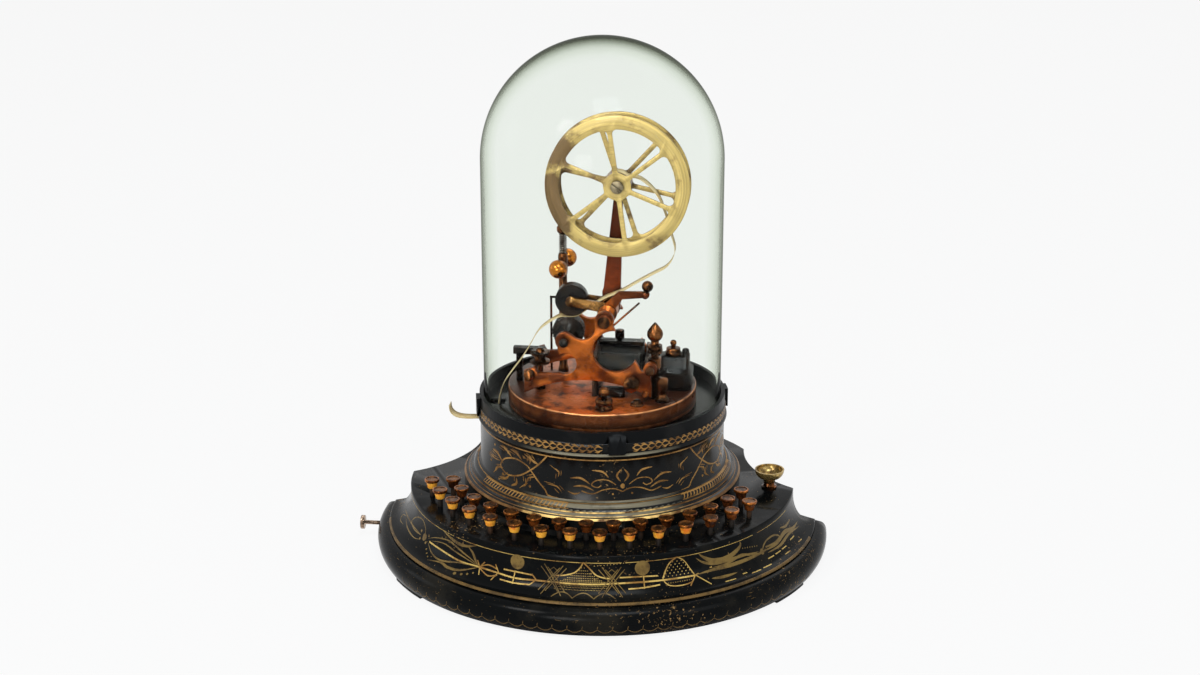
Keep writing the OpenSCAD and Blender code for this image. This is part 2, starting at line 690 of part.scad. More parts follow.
// Lever that holds the press roller down on the tape, pivoted on the cross tube
lever_t = 2.8;
lever_rear_t = 1.8;
lever_front = tape_y - tape_w / 2 - 0.4 - lever_t;
lever_back = tape_y + tape_w / 2 + 0.4 + lever_rear_t;
sleeve_r = tube_r + 2.3;
lever_ball_r = 4.3;
lever_reach = [29, 15.6];
lever_end = tube_at + lever_reach;
lever_ball = lever_end + [1.4, 6.4];
module press_lever() {
  lever_mid = lever_front + lever_t / 2;
  color("#a4762f") {
    difference() {
      union() {
        for (y = [[lever_front, lever_t], [lever_back - lever_rear_t, lever_rear_t]])
          stand_at([0, 0], y[0], y[1]) {
            bar_outline(press_at, tube_at + [-1, 4], 6.4, 8);
            translate(press_at) circle(r = 4, $fn = 48);
          }
        stand_at([0, 0], lever_front, lever_t) {
          bar_outline(tube_at + [1, 4], lever_end + [-19, -1], 8.5, 6);
          bar_outline(lever_end + [-20.5, -1.4], lever_end, 6, 4.6);
          translate(lever_end) circle(r = 3, $fn = 32);
        }
        turned(tube_at, lever_front, lever_back, sleeve_r);
      }
      turned(tube_at, lever_front - 1, lever_back + 1, tube_r + fit);
    }
    turned(press_at, lever_front - 0.8, lever_back - eps, press_pin_r);
    translate([lever_ball[0], lever_mid, lever_ball[1]]) sphere(r = lever_ball_r, $fn = 48);
    rod([lever_end[0], lever_mid, lever_end[1]], [lever_ball[0], lever_mid, lever_ball[1]], 1.5);
    turned(lever_end, lever_front - 2.2, lever_front + eps, 2.6);
  }
}

// Governor: two balls on a cross arm that spins on the column, under a spring and a cap
arm_turn = -6;
module governor() {
  color("#b0702c") translate([column_at[0], column_at[1], 0]) {
    translate([0, 0, column_top - 20])
      cylinder(h = spring_z + spring_h + 5 - column_top + 20, r = pin_r, $fn = 32);
    translate([0, 0, column_top + gap]) rotate_extrude($fn = 48)
      polygon([
        [0, 0], [3.4, 0], [3.8, 3], [3.8, 15], [3.2, spring_z - column_top - gap],
        [0, spring_z - column_top - gap]]);
    rotate([0, 0, arm_turn]) {
      rod([0, -ball_reach, ball_z], [0, ball_reach, ball_z], 1.5);
      for (s = [-1, 1]) translate([0, s * ball_reach, ball_z]) sphere(r = ball_r, $fn = 64);
    }
    translate([0, 0, spring_z + spring_h]) rotate_extrude($fn = 48)
      polygon([[0, 0], [3.4, 0], [4.6, 1.6], [4.6, 4.6], [3.6, 6], [0, 6]]);
  }
}

// Visible spring: one unbroken round wire wound on the spindle
spring_sides = 6;
spring_steps = 8;
spring_pitch = (spring_h - 2 * spring_wire_r) / spring_turns;
function coil_point(t) =
  [spring_r * cos(360 * t), spring_r * sin(360 * t), spring_z + spring_wire_r + spring_pitch * t];
rings = [for (i = [0 : spring_turns * spring_steps]) let (t = i / spring_steps, c = coil_point(t))
  [for (k = [0 : spring_sides - 1]) let (a = 360 * k / spring_sides)
    c + spring_wire_r * (cos(a) * [cos(360 * t), sin(360 * t), 0] + sin(a) * [0, 0, 1])]];
least_gap = min([for (i = [0 : 7]) norm(coil_point(i / 8 + 1) - coil_point(i / 8))]) - 2 * spring_wire_r;
echo(least_gap = least_gap);
module governor_spring() {
  n = spring_sides;
  m = len(rings);
  color("#2b2520") translate([column_at[0], column_at[1], 0])
    polyhedron(
      points = [for (r = rings) for (p = r) p],
      faces = concat(
        [for (k = [1 : n - 2]) [0, k, k + 1]],
        [for (i = [0 : m - 2]) for (k = [0 : n - 1]) let (a = i * n + k, b = i * n + (k + 1) % n) each
          [[a, a + n, b + n], [a, b + n, b]]],
        [for (k = [1 : n - 2]) [(m - 1) * n, (m - 1) * n + k + 1, (m - 1) * n + k]]),
      convexity = 20);
}

// Pair of horizontal magnet coils on iron cores joined by a yoke
flange_r = coil_r + 0.9;
flange_t = 1.8;
core_r = 3.5;
core_out = 2;
yoke_t = 4;
module along_x(y, z, x0, x1, r) {
  translate([x0, y, z]) rotate([0, 90, 0]) cylinder(h = x1 - x0, r = r, $fn = 64);
}
module magnet_coils() {
  color("#131315")
    for (y = coil_ys) difference() {
      union() {
        along_x(y, coil_z, 0, coil_l, coil_r);
        along_x(y, coil_z, 0, flange_t, flange_r);
        along_x(y, coil_z, coil_l - flange_t, coil_l, flange_r);
      }
      along_x(y, coil_z, -1, coil_l + 1, core_r);
    }
}

ear_t = 2.3;
arm_y0 = -25.7;
arm_y1 = 7;
module magnet_cores() {
  color("#2c2b2a") {
    for (y = coil_ys) along_x(y, coil_z, -yoke_t - 0.6, coil_l + core_out, core_r);
    difference() {
      translate([-yoke_t, coil_ys[0] - coil_r, bed_top])
        cube([yoke_t, coil_ys[1] - coil_ys[0] + 2 * coil_r, coil_z - bed_top + coil_r]);
      for (y = coil_ys) along_x(y, coil_z, -yoke_t - 1, 1, core_r);
    }
    for (y = [arm_y0 - gap - ear_t, arm_y1 + gap]) difference() {
      stand_at([0, 0], y, ear_t) polygon([
        [pivot_at[0] - 4, bed_top], [pivot_at[0] + 4, bed_top], pivot_at + [3, 2.4], pivot_at + [1, 3.4],
        pivot_at + [-1, 3.4], pivot_at + [-3, 2.4]]);
      turned(pillar_right, y - 1, y + ear_t + 1, pillar_r);
      turned(pivot_at, y - 1, y + ear_t + 1, pin_r);
    }
    turned(pivot_at, arm_y0 - gap - ear_t - 0.6, arm_y1 + gap + ear_t + 0.6, pin_r);
  }
}

// Armature that swings towards the cores' ends
arm_gap = 1.3;
arm_t = 2.6;
module armature() {
  x0 = coil_l + core_out + arm_gap;
  color("#3a322b") difference() {
    union() {
      turned(pivot_at, arm_y0, arm_y1, 2.9);
      translate([x0, arm_y0, pivot_at[1]]) cube([arm_t, arm_y1 - arm_y0, coil_z + 6 - pivot_at[1]]);
      translate([x0, (arm_y0 + arm_y1) / 2 - 3, coil_z]) cube([arm_t, 6, 14]);
    }
    turned(pivot_at, arm_y0 - 1, arm_y1 + 1, pin_r + fit);
  }
}

// Turned posts: the acorn-headed adjuster, the tape spool and two terminal nuts
acorn_at = [43.6, -31.8];
spool_at = [-45.6, -20];
mid_knob_at = [13.7, -2];
relay_nut_at = [54.5, 5];
module post_at(at, z, profile, bore = 0) {
  translate([at[0], at[1], z]) rotate_extrude($fn = 48)
    polygon(concat([[bore, profile[0][1]]], profile, [[bore, profile[len(profile) - 1][1]]]));
}
module adjusters() {
  color("#7c5a33") {
    post_at(acorn_at, bed_top, concat(
      [[3.2, 0], [3.2, 25], [4.9, 25.4], [4.9, 32.6], [3, 33.4], [3, 36.6], [5.9, 37], [5.9, 39.4], [4.4, 40],
       [5.6, 40.4], [5.6, 42.6], [3.1, 43.6], [3.1, 45.8]],
      oval([0, 51.4], 6.1, 6, -60, 40, 8), [[2.2, 58.6], [0.6, 60.4]]));
    post_at(spool_at, bed_top, [
      [4, 0], [4, 2], [2.4, 3], [2.4, 20.4], [7.6, 20.8], [7.6, 22.6], [4.4, 23.4], [4.4, 27.2], [7.6, 28],
      [7.6, 29.8], [3, 30.2], [3, 31.6], [1.6, 32.6]]);
    post_at(mid_knob_at, strap_top, [[2, 0], [2, 1.2], [3.6, 1.6], [3.6, 7.4], [3, 8]]);
    post_at(relay_nut_at, upper_top, [[6.2, 0], [6.2, 3], [5.4, 4], [5.4, 6], [1.8, 6.4], [1.8, 8.4]]);
    translate([relay_nut_at[0], relay_nut_at[1], upper_top + 10]) sphere(r = 2.5, $fn = 32);
  }
}

// Hard rubber: the relay's block, its upper block, the strap on the coils, the switch bar and the T post
relay_x = [44.6, 70];
relay_y = [-15, 14.5];
relay_top = bed_top + 13;
upper_top = relay_top + 9;
strap_top = coil_z + flange_r + 3;
t_post_at = [-64, -3];
t_leg_h = 22;
module rounded_block(x, y, z0, z1, r) {
  translate([0, 0, z0]) linear_extrude(height = z1 - z0) {
    translate([x[0] + r, y[0]]) square([x[1] - x[0] - 2 * r, y[1] - y[0]]);
    translate([x[0], y[0] + r]) square([x[1] - x[0], y[1] - y[0] - 2 * r]);
    for (u = [x[0] + r, x[1] - r]) for (v = [y[0] + r, y[1] - r]) translate([u, v]) circle(r = r, $fn = 48);
  }
}
module insulator_blocks() {
  color("#121214") {
    difference() {
      intersection() {
        rounded_block(relay_x, relay_y, bed_top, relay_top, 7);
        translate([0, 0, bed_top - 1]) cylinder(h = 30, r = bed_r - 1);
      }
      rounded_block([relay_x[0] + 3, relay_x[1] - 5], [relay_y[0] + 3, relay_y[0] + 11],
        relay_top - 4, relay_top + 1, 3.5);
    }
    rounded_block([relay_x[0], relay_x[1] - 3], [relay_y[0] + 13.5, relay_y[1] - 1], relay_top, upper_top, 3);
    post_at([relay_x[1] - 6, relay_nut_at[1]], upper_top, [[2.8, 0], [2.8, 4.4], [2, 5.6]]);
    rounded_block([-2, coil_l + 1], [coil_ys[1] - 4, coil_ys[1] + 4], coil_z + flange_r, strap_top, 1);
    rounded_block([0.6, 21], [-34.4, -29.2], bed_top, bed_top + 7.4, 2.5);
    translate([t_post_at[0], t_post_at[1], 0]) {
      rounded_block([-2.4, 2.4], [-2.6, 2.6], bed_top, bed_top + t_leg_h, 1);
      rounded_block([-4.6, 20], [-3.4, 3.4], bed_top + t_leg_h, bed_top + t_leg_h + 5, 1.2);
    }
  }
}

// Binding posts and screws that stay put
knob_pin_r = 2.6;
ferrule_h = 5;
front_post_at = [8.2, -59.7];
flat_screw_at = [31.9, -48.5];
right_post_at = [49.8, -37.8];
thumb_at = [27.4, bed_top + 15.4];
clamp_at = [-50.6, bed_top + 18.5];
ball_screw_at = [foot_right[1] - 0.6, bed_top + 26];
module binding_posts() {
  color("#5a4227") {
    post_at(front_post_at, bed_top, concat(
      [[6.5, 0], [6.5, 2.6], [6, 3], [6, 4], [6.5, 4.4], [6.5, 7.4], [5.6, 8.4], [2.2, 9], [2.2, 10.6]],
      oval([0, 13.8], 4.1, 3.8, -50, 70, 8)));
    post_at(flat_screw_at, bed_top, [[5.2, 0], [4.4, 1.8], [2.9, 2.2], [2.9, 3.8], [2.3, 4.2]]);
    post_at(right_post_at, bed_top, [
      [5.2, 0], [5.2, 2], [4.6, 3.2], [3.6, 3.8], [3.6, 8.6], [4.6, 9], [4.6, 17.4], [3.8, 18.6]]);
    turned(thumb_at, front_out - 2, front_out, 3.4);
    turned(thumb_at, front_out - 8, front_out - 2 + eps, 5.8);
    turned(clamp_at, front_out - 3.4, front_out, 4.2);
    turned(ball_screw_at, front_out - 1.6, front_out, 2.6);
    translate([ball_screw_at[0], front_out - 4.4, ball_screw_at[1]]) sphere(r = 3.6, $fn = 48);
    turned(tube_at, tube_front - 0.6, tube_front + plug_t, plug_r);
    post_at(switch_at, deck_z, [[6, 0], [6, 1.4], [4.2, 2.2], [4.2, ferrule_h]], knob_pin_r + fit);
  }
}

cup_r = 11.4;
cup_z = deck_z + ferrule_h + 10.2;
module switch_knob() {
  color("#b8924a") translate([switch_at[0], switch_at[1], 0]) rotate_extrude($fn = 72)
    polygon(concat(
      [[0, deck_under - 5.6], [5, deck_under - 5.6], [5, deck_under - gap], [knob_pin_r, deck_under - gap],
       [knob_pin_r, deck_z + ferrule_h + gap], [4.6, deck_z + ferrule_h + gap], [4.6, cup_z - 7.4]],
      oval([4.6, cup_z], cup_r - 4.6, 7.4, -80, 0, 7),
      oval([4.6, cup_z], cup_r - 5.8, 6.2, 0, -90, 7),
      [[4, cup_z - 5.4], [0, cup_z - 5]]));
}

pull_head_r = 5.5;
pull_out = deck_r + torus_out + 13;
module side_pull() {
  color("#a8623a") {
    along_x(pull_y, pull_z, -pull_out + 1, -cavity_r + 8, pull_r);
    along_x(pull_y, pull_z, -pull_out - 1.6, -pull_out + 1, pull_head_r);
    along_x(pull_y, pull_z, -cavity_r + 1.2, -cavity_r + 3.6, pull_r + 2.4);
  }
}

base_body();
bottom_board();
feet();
contact_strips();
drum();
dome_ring();
glass_dome();
bedplate();
front_frame();
back_frame();
frame_pillars();
reel_post();
reel_axle();
reel_hub();
reel_discs();
paper_tape();
tape_guide();
type_wheels();
press_roller();
press_lever();
governor();
governor_spring();
magnet_coils();
magnet_cores();
armature();
adjusters();
insulator_blocks();
binding_posts();
switch_knob();
side_pull();
for (k = [0 : 2 * keys_per_row - 1])
  key(k);
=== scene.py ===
import json
import math
import random

import bmesh
import bpy
from bpy.props import FloatProperty, FloatVectorProperty, PointerProperty
from mathutils import Matrix, Vector


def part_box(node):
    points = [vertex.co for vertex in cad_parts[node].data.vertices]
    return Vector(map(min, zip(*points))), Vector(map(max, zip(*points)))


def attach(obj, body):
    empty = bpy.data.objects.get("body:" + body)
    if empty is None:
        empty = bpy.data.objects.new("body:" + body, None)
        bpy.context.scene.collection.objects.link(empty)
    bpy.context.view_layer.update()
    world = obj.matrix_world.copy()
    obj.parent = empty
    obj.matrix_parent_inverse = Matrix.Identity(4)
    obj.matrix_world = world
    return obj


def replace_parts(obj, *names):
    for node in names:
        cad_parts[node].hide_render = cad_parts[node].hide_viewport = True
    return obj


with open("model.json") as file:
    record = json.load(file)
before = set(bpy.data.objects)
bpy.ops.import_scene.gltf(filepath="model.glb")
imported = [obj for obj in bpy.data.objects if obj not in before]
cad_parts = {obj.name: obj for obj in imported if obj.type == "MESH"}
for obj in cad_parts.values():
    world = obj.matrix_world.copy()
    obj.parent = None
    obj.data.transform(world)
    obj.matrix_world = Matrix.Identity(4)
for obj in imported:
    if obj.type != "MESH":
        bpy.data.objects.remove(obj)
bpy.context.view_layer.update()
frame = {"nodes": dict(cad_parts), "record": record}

bl_info = {
    "name": "Stock Ticker",
    "version": (1, 0, 0),
    "blender": (4, 5, 0),
    "location": "3D View > Sidebar > Ticker",
    "description": "Finishes the ticker's lacquered base, drum, keys, glass dome and printing movement",
    "category": "Add Mesh",
}

# One millimetre in metres
MM = 0.001


def low(node):
    """Lowest corner of a node in millimetres"""
    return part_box(node)[0] / MM


def high(node):
    """Highest corner of a node in millimetres"""
    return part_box(node)[1] / MM


# Heights from the frame, in millimetres
DECK_Z = low("drum").z
DRUM_TOP = high("drum").z
BED_TOP = high("bedplate").z

# Mouldings of the base and drum that the ornament follows, in millimetres and degrees
DECK_R = 150.0
LIP_H = 4.4
COVE_OUT = 16.0
COVE_Z = 25.0
TORUS_OUT = 27.0
TORUS_Z = 12.0
TORUS_FALL = TORUS_Z * 1.05
TORUS_TOP = COVE_Z - 2.6
NECK_OUT = COVE_OUT + 2.4
NECK_BEAD_R = 1.8
DRUM_R = 95.6
WAIST_R = DRUM_R - 0.9
PLINTH_R = high("drum").x
PLINTH_TOP = DECK_Z + 10.6
FOOT_TOP = PLINTH_TOP + 8.4
STEP_R = 4.0
STEP_OUT = 2
HOLLOW_R = 4.2
HOLLOW_IN = 1.2
PLINTH_EDGE = 0.5
BEAD_Z = DRUM_TOP - 9.6
DRUM_TURN = 13.2
PANEL_MIDDLE = 2.6
LUG_HALF = 5.4

# Painted lines: depth below the lacquer and least width in millimetres, share of the width kept on top
PAINT_SINK = 0.05
LEAST_LINE = 0.12
LINE_TOP = 0.9

# Rounding of the glass's rim, in millimetres
GLASS_RIM = 0.8

# Keys nearer the middle than this, or further right, get a darker cup as painted shade, in millimetres
INNER_ROW_R = 122.0
WORN_KEYS_X = 75.0

# Material of each span of a key's outline, by its place among the key's materials
KEY_ZONES = [3] * 6 + [0] * 4 + [1] * 6 + [2] * 5

# Faces whose normal has less than this share along the piece's axis are its sides
SIDE_LEAN = 0.6

# Drum's mouldings: least and most upward share of their normals, and their end below the top in millimetres
MOULDING_LEAN = (0.2, 0.97)
MOULDING_END = 5

# How far below its top the bedplate's side begins, in metres
RIM_DROP = 0.0002

# How far the governor's column reaches from its axis, in millimetres
COLUMN_REACH = 5

# Pillars' steel rod: its left limit, height over the bedplate and reach before the lever, in millimetres
ROD_X = 12.0
ROD_RISE = 52
ROD_LEAD = 6

# Press lever's ball: its left limit in metres and its depth below the lever's top in millimetres
BALL_X = 0.032
BALL_DROP = 9

# Heights in metres between which the dome's crown gets darker, and how much
CROWN_SPAN = (0.345, 0.405)
CROWN_SHADE = 0.15

# Darkening of blown glass by how edge-on it is seen: partly the longer path through the wall, partly painted
# shade standing in for dark reflections at its edge
GLASS_EDGE = ((0.5, (1.0, 1.0, 1.0)), (0.6, (0.9, 0.92, 0.88)), (0.7, (0.72, 0.75, 0.69)),
              (0.76, (0.44, 0.47, 0.41)), (0.82, (0.26, 0.28, 0.23)), (0.87, (0.11, 0.125, 0.09)),
              (0.93, (0.03, 0.035, 0.024)))

# Patina and painted shade: where patches start, how grime and painted shade in corners fall with openness,
# how uneven gloss is, how crisp chips are
PATCH_START = 0.86
DIRT_BY_OPENNESS = (-1.7, 1.3)
ROUGHNESS_SPREAD = 0.28
CHIP_SHARPNESS = 18.0

# Painted highlight on the drum's front: the direction it faces, and how far a place faces it where the
# painted highlight starts and is full
FRONT = (0.1, -0.995, 0.0)
FRONT_FADE = (0.78, 0.96)

# Reel's tarnish: two distances left of its middle in metres, and its amount at each
TARNISH_SPAN = (0.054, 0.028)
TARNISH = (0.64, 0.34)

# Points that the lamps and the camera look at, in metres
LAMP_AIM = (0, 0, 0.18)
CAMERA_AIM = (0, 0, 0.129)

# Lamps: name, place and size in metres, share of the key light's power, colour
LAMPS = (
    ("key_light", (-1.5, -1.9, 2.3), 0.7, 1.0, (1.0, 0.98, 0.95)),
    ("front_light", (-0.5, -2.6, 0.75), 0.7, 0.6, (1.0, 0.99, 0.97)),
    ("top_light", (0.3, -1.1, 2.3), 0.9, 0.9, (0.86, 0.94, 1.0)),
    ("side_light", (-2.5, 0.2, 0.8), 0.8, 0.13, (0.86, 0.93, 1.0)),
    ("fill_light", (2.2, -1.6, 1.2), 1.2, 0.3, (0.95, 0.98, 1.0)),
    ("back_light", (0.6, 2.0, 2.2), 1.4, 0.35, (1.0, 1.0, 1.0)))

MATERIALS = {}


# Mesh helpers

def new_object(name, verts, faces, zones=None):
    """An object from points in metres, its faces turned outwards"""
    mesh = bpy.data.meshes.new(name)
    mesh.from_pydata([tuple(v) for v in verts], [], faces)
    if zones:
        mesh.polygons.foreach_set("material_index", zones)
    shell = bmesh.new()
    shell.from_mesh(mesh)
    bmesh.ops.recalc_face_normals(shell, faces=shell.faces)
    shell.to_mesh(mesh)
    shell.free()
    piece = bpy.data.objects.new(name, mesh)
    bpy.context.scene.collection.objects.link(piece)
    return piece


def smooth(piece, angle=32.0):
    """Smooth shading that keeps edges sharper than angle"""
    piece.data.shade_smooth()
    piece.data.set_sharp_from_angle(angle=math.radians(angle))


def carry(piece, body, slot, *materials):
    """Gives a piece its materials by name and the body it moves with; slot is not used"""
    for name in materials:
        piece.data.materials.append(MATERIALS[name])
    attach(piece, body)
    return piece


def body_of(node):
    """Name of the body that carries a node"""
    for body, members in frame["record"]["behaviour"]["bodies"].items():
        if node in members:
            return body
    raise ValueError("no body carries " + node)


def slot_of(node):
    """The record's material slot of a node"""
    for part in frame["record"]["subparts"]:
        if part["node"] == node:
            return part["material_slot"]
    raise ValueError("no slot for " + node)


def finish_node(node, *materials, bevel=0.0, angle=32.0, zone=None):
    """Stands a smooth-shaded copy of a node in its place, with its edges broken by bevel millimetres"""
    source = frame["nodes"][node]
    shell = bmesh.new()
    shell.from_mesh(source.data)
    bmesh.ops.remove_doubles(shell, verts=shell.verts, dist=2e-6)
    if bevel:
        bmesh.ops.dissolve_limit(shell, angle_limit=math.radians(1.0), verts=shell.verts, edges=shell.edges)
    mesh = bpy.data.meshes.new(node + "_finish")
    shell.to_mesh(mesh)
    shell.free()
    piece = bpy.data.objects.new(node + "_finish", mesh)
    bpy.context.scene.collection.objects.link(piece)
    mesh.materials.clear()
    if bevel:
        broken = piece.modifiers.new("broken edges", "BEVEL")
        broken.width = bevel * MM
        broken.segments = 2
        broken.limit_method = "ANGLE"
        broken.angle_limit = math.radians(angle)
        apply_modifiers(piece)
    if zone:
        for face in piece.data.polygons:
            face.material_index = zone(face)
    smooth(piece, angle)
    carry(piece, body_of(node), slot_of(node), *materials)
    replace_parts(piece, node)
    return piece


def apply_modifiers(piece):
    """Makes a piece's modifiers part of its mesh"""
    depsgraph = bpy.context.evaluated_depsgraph_get()
    shaped = bpy.data.meshes.new_from_object(piece.evaluated_get(depsgraph))
    piece.modifiers.clear()
    old = piece.data
    piece.data = shaped
    bpy.data.meshes.remove(old)


def lathe(profile, segments=96, loop=False):
    """Points and faces of a solid turned about Z from (radius, height) points"""
    verts, faces, spans, rings = [], [], [], []
    for radius, height in profile:
        first = len(verts)
        if radius < 1e-6:
            verts.append(Vector((0, 0, height)))
        else:
            for i in range(segments):
                a = 2 * math.pi * i / segments
                verts.append(Vector((radius * math.cos(a), radius * math.sin(a), height)))
        rings.append(range(first, len(verts)))
    ends = list(zip(rings, rings[1:])) + ([(rings[-1], rings[0])] if loop else [])
    for span, (a, b) in enumerate(ends):
        for i in range(segments):
            j = i + 1
            corners = [a[i % len(a)], a[j % len(a)], b[j % len(b)], b[i % len(b)]]
            face = list(dict.fromkeys(corners))
            if len(face) > 2:
                faces.append(face)
                spans.append(span)
    return verts, faces, spans


def turned_piece(name, profile, place, node, materials, zones, segments):
    """A turned piece for a node, from a profile in millimetres whose spans have materials by zones"""
    verts, faces, spans = lathe(profile, segments)
    piece = new_object(name, [place @ (v * MM) for v in verts], faces, [zones[span] for span in spans])
    smooth(piece, 38)
    return carry(piece, body_of(node), slot_of(node), *materials)


def oval(centre, rx, ry, start, end, steps):
    """Points of an oval's arc, angles in degrees"""
    turn = [math.radians(start + (end - start) * i / steps) for i in range(steps + 1)]
    return [(centre[0] + rx * math.cos(a), centre[1] + ry * math.sin(a)) for a in turn]


def spline(points, steps=6):
    """A smooth line through points of any dimension"""
    points = [Vector(p) for p in points]
    line = []
    for i in range(len(points) - 1):
        a, b = points[max(i - 1, 0)], points[i]
        c, d = points[i + 1], points[min(i + 2, len(points) - 1)]
        for k in range(steps):
            t = k / steps
            line.append(0.5 * (2 * b + (c - a) * t + (2 * a - 5 * b + 4 * c - d) * t * t
                               + (3 * b - 3 * c + d - a) * t * t * t))
    line.append(points[-1])
    return line


# Shader helpers

def new_group(name, inputs, outputs):
    """A shader node group, with the sockets that its nodes read and write"""
    tree = bpy.data.node_groups.new(name, "ShaderNodeTree")
    for title, kind, default in inputs:
        socket = tree.interface.new_socket(name=title, in_out="INPUT", socket_type="NodeSocket" + kind)
        socket.default_value = default
    for title, kind in outputs:
        tree.interface.new_socket(name=title, in_out="OUTPUT", socket_type="NodeSocket" + kind)
    return tree, tree.nodes.new("NodeGroupInput").outputs, tree.nodes.new("NodeGroupOutput").inputs


def is_socket(value):
    """Whether a value is a node's socket"""
    return hasattr(value, "is_output")


def add(tree, kind, link=None, **values):
    """A shader node with its settings, sockets and links"""
    node = tree.nodes.new("ShaderNode" + kind)
    for key, value in values.items():
        setattr(node, key, value)
    for socket, source in (link or {}).items():
        if is_socket(source):
            tree.links.new(source, node.inputs[socket])
        else:
            node.inputs[socket].default_value = source
    return node


def position(tree):
    """Place on the object, in metres"""
    return add(tree, "TexCoord").outputs["Object"]


def position_along(tree, axis):
    """Place on the object along one axis, in metres"""
    return add(tree, "SeparateXYZ", {"Vector": position(tree)}).outputs[axis]


def noise(tree, place, scale, detail, roughness=0.5):
    """Value of a noise texture"""
    return add(tree, "TexNoise", {"Vector": place, "Scale": scale, "Detail": detail,
                                  "Roughness": roughness}).outputs["Fac"]


def calc(tree, operation, *values, clamp=False):
    """Result of a sum on numbers"""
    return add(tree, "Math", dict(enumerate(values)), operation=operation, use_clamp=clamp).outputs[0]


def calc_vector(tree, operation, *values):
    """Result of a sum on vectors"""
    node = add(tree, "VectorMath", dict(enumerate(values)), operation=operation)
    return node.outputs["Value" if operation in ("LENGTH", "DOT_PRODUCT") else "Vector"]


def spread(tree, value, start, end, first=0.0, last=1.0):
    """Turns start to end into first to last"""
    return add(tree, "MapRange", {"Value": value, "From Min": start, "From Max": end,
                                  "To Min": first, "To Max": last}).outputs["Result"]


def mix(tree, share, first, second, blend="MIX"):
    """Two colours mixed by a share"""
    return add(tree, "Mix", {"Factor": share, "A": first, "B": second}, data_type="RGBA",
               blend_type=blend).outputs["Result"]


def colour_steps(tree, source, shades):
    """A colour ramp through (position, colour) pairs"""
    steps = add(tree, "ValToRGB", {"Fac": source})
    stops = steps.color_ramp.elements
    while len(stops) < len(shades):
        stops.new(0.5)
    for stop, (share, colour) in zip(stops, shades):
        stop.position = share
        stop.color = (*colour, 1)
    return steps.outputs["Color"]


def ramp(tree, source, start, end, first=(0, 0, 0), last=(1, 1, 1)):
    """A colour ramp from first to last between two positions"""
    return colour_steps(tree, source, ((start, first), (end, last)))


def patina_group():
    """Cloudy patches, grime and painted shade in the corners, and fine grain: colour, roughness and height
    of an aged surface
    """
    tree, given, made = new_group(
        "Patina",
        [("Clean", "Color", (0.5, 0.3, 0.1, 1)), ("Aged", "Color", (0.1, 0.05, 0.02, 1)),
         ("Dirt", "Color", (0.01, 0.008, 0.006, 1)), ("Patch Size", "Float", 60.0), ("Amount", "Float", 0.5),
         ("Base Roughness", "Float", 0.35), ("Grain", "Float", 900.0), ("Dirt Reach", "Float", 0.004)],
        [("Color", "Color"), ("Roughness", "Float"), ("Height", "Float")])
    place = position(tree)
    cloud = noise(tree, place, given["Patch Size"], 6.0, 0.62)
    patch = ramp(tree, calc(tree, "ADD", cloud, given["Amount"]), PATCH_START, 1.0)
    worn = mix(tree, patch, given["Clean"], given["Aged"])
    # Painted shade: the colour darkens where ambient occlusion finds the surface enclosed, standing for
    # grime and for the shade in corners
    corner = add(tree, "AmbientOcclusion", {"Distance": given["Dirt Reach"]}, samples=6).outputs["AO"]
    depth = calc(tree, "MULTIPLY_ADD", corner, *DIRT_BY_OPENNESS)
    cover = calc(tree, "MULTIPLY_ADD", cloud, 0.5, depth, clamp=True)
    uneven = calc(tree, "MULTIPLY_ADD", cloud, ROUGHNESS_SPREAD, given["Base Roughness"])
    tree.links.new(mix(tree, cover, worn, given["Dirt"]), made["Color"])
    tree.links.new(calc(tree, "SUBTRACT", uneven, ROUGHNESS_SPREAD / 2), made["Roughness"])
    tree.links.new(noise(tree, place, given["Grain"], 3.0), made["Height"])


def chips_group():
    """Sparse flecks where a coat has chipped or rubbed through"""
    tree, given, made = new_group(
        "Chips",
        [("Size", "Float", 500.0), ("Rarity", "Float", 0.7), ("Region Size", "Float", 20.0)],
        [("Mask", "Float")])
    place = position(tree)
    fleck = noise(tree, place, given["Size"], 4.0, 0.7)
    region = noise(tree, place, given["Region Size"], 2.0)
    both = calc(tree, "MULTIPLY_ADD", region, 0.35, fleck)
    over = calc(tree, "SUBTRACT", both, given["Rarity"])
    tree.links.new(calc(tree, "MULTIPLY", over, CHIP_SHARPNESS, clamp=True), made["Mask"])


def brush_group():
    """Fine lines left by a brush, stretched along one axis"""
    tree, given, made = new_group(
        "Brushed Lines",
        [("Stretch", "Vector", (1.0, 1.0, 30.0)), ("Scale", "Float", 600.0)],
        [("Height", "Float")])
    drawn = calc_vector(tree, "MULTIPLY", position(tree), given["Stretch"])
    tree.links.new(noise(tree, drawn, given["Scale"], 3.0), made["Height"])


def turned_group():
    """Fine rings left by a lathe about an axis along Y"""
    tree, given, made = new_group(
        "Turned Lines",
        [("Centre", "Vector", (0.0, 0.0, 0.0)), ("Scale", "Float", 900.0)],
        [("Height", "Float")])
    arm = calc_vector(tree, "SUBTRACT", position(tree), given["Centre"])
    reach = calc_vector(tree, "LENGTH", calc_vector(tree, "MULTIPLY", arm, (1.0, 0.0, 1.0)))
    ring = add(tree, "CombineXYZ", {"X": reach}).outputs[0]
    drift = calc_vector(tree, "MULTIPLY", arm, (0.03, 0.03, 0.03))
    lines = noise(tree, calc_vector(tree, "ADD", ring, drift), given["Scale"], 3.0)
    tree.links.new(lines, made["Height"])


def front_blend(tree, colour, front):
    """A colour that turns into a painted highlight colour towards the front of the drum"""
    flat = calc_vector(tree, "MULTIPLY", position(tree), (1.0, 1.0, 0.0))
    turn = calc_vector(tree, "DOT_PRODUCT", calc_vector(tree, "NORMALIZE", flat), FRONT)
    return ramp(tree, turn, *FRONT_FADE, colour, front)


def new_material(name):
    """A material with only its output and a Principled shader"""
    material = bpy.data.materials.new(name)
    material.use_nodes = True
    tree = material.node_tree
    return material, tree, tree.nodes["Principled BSDF"]


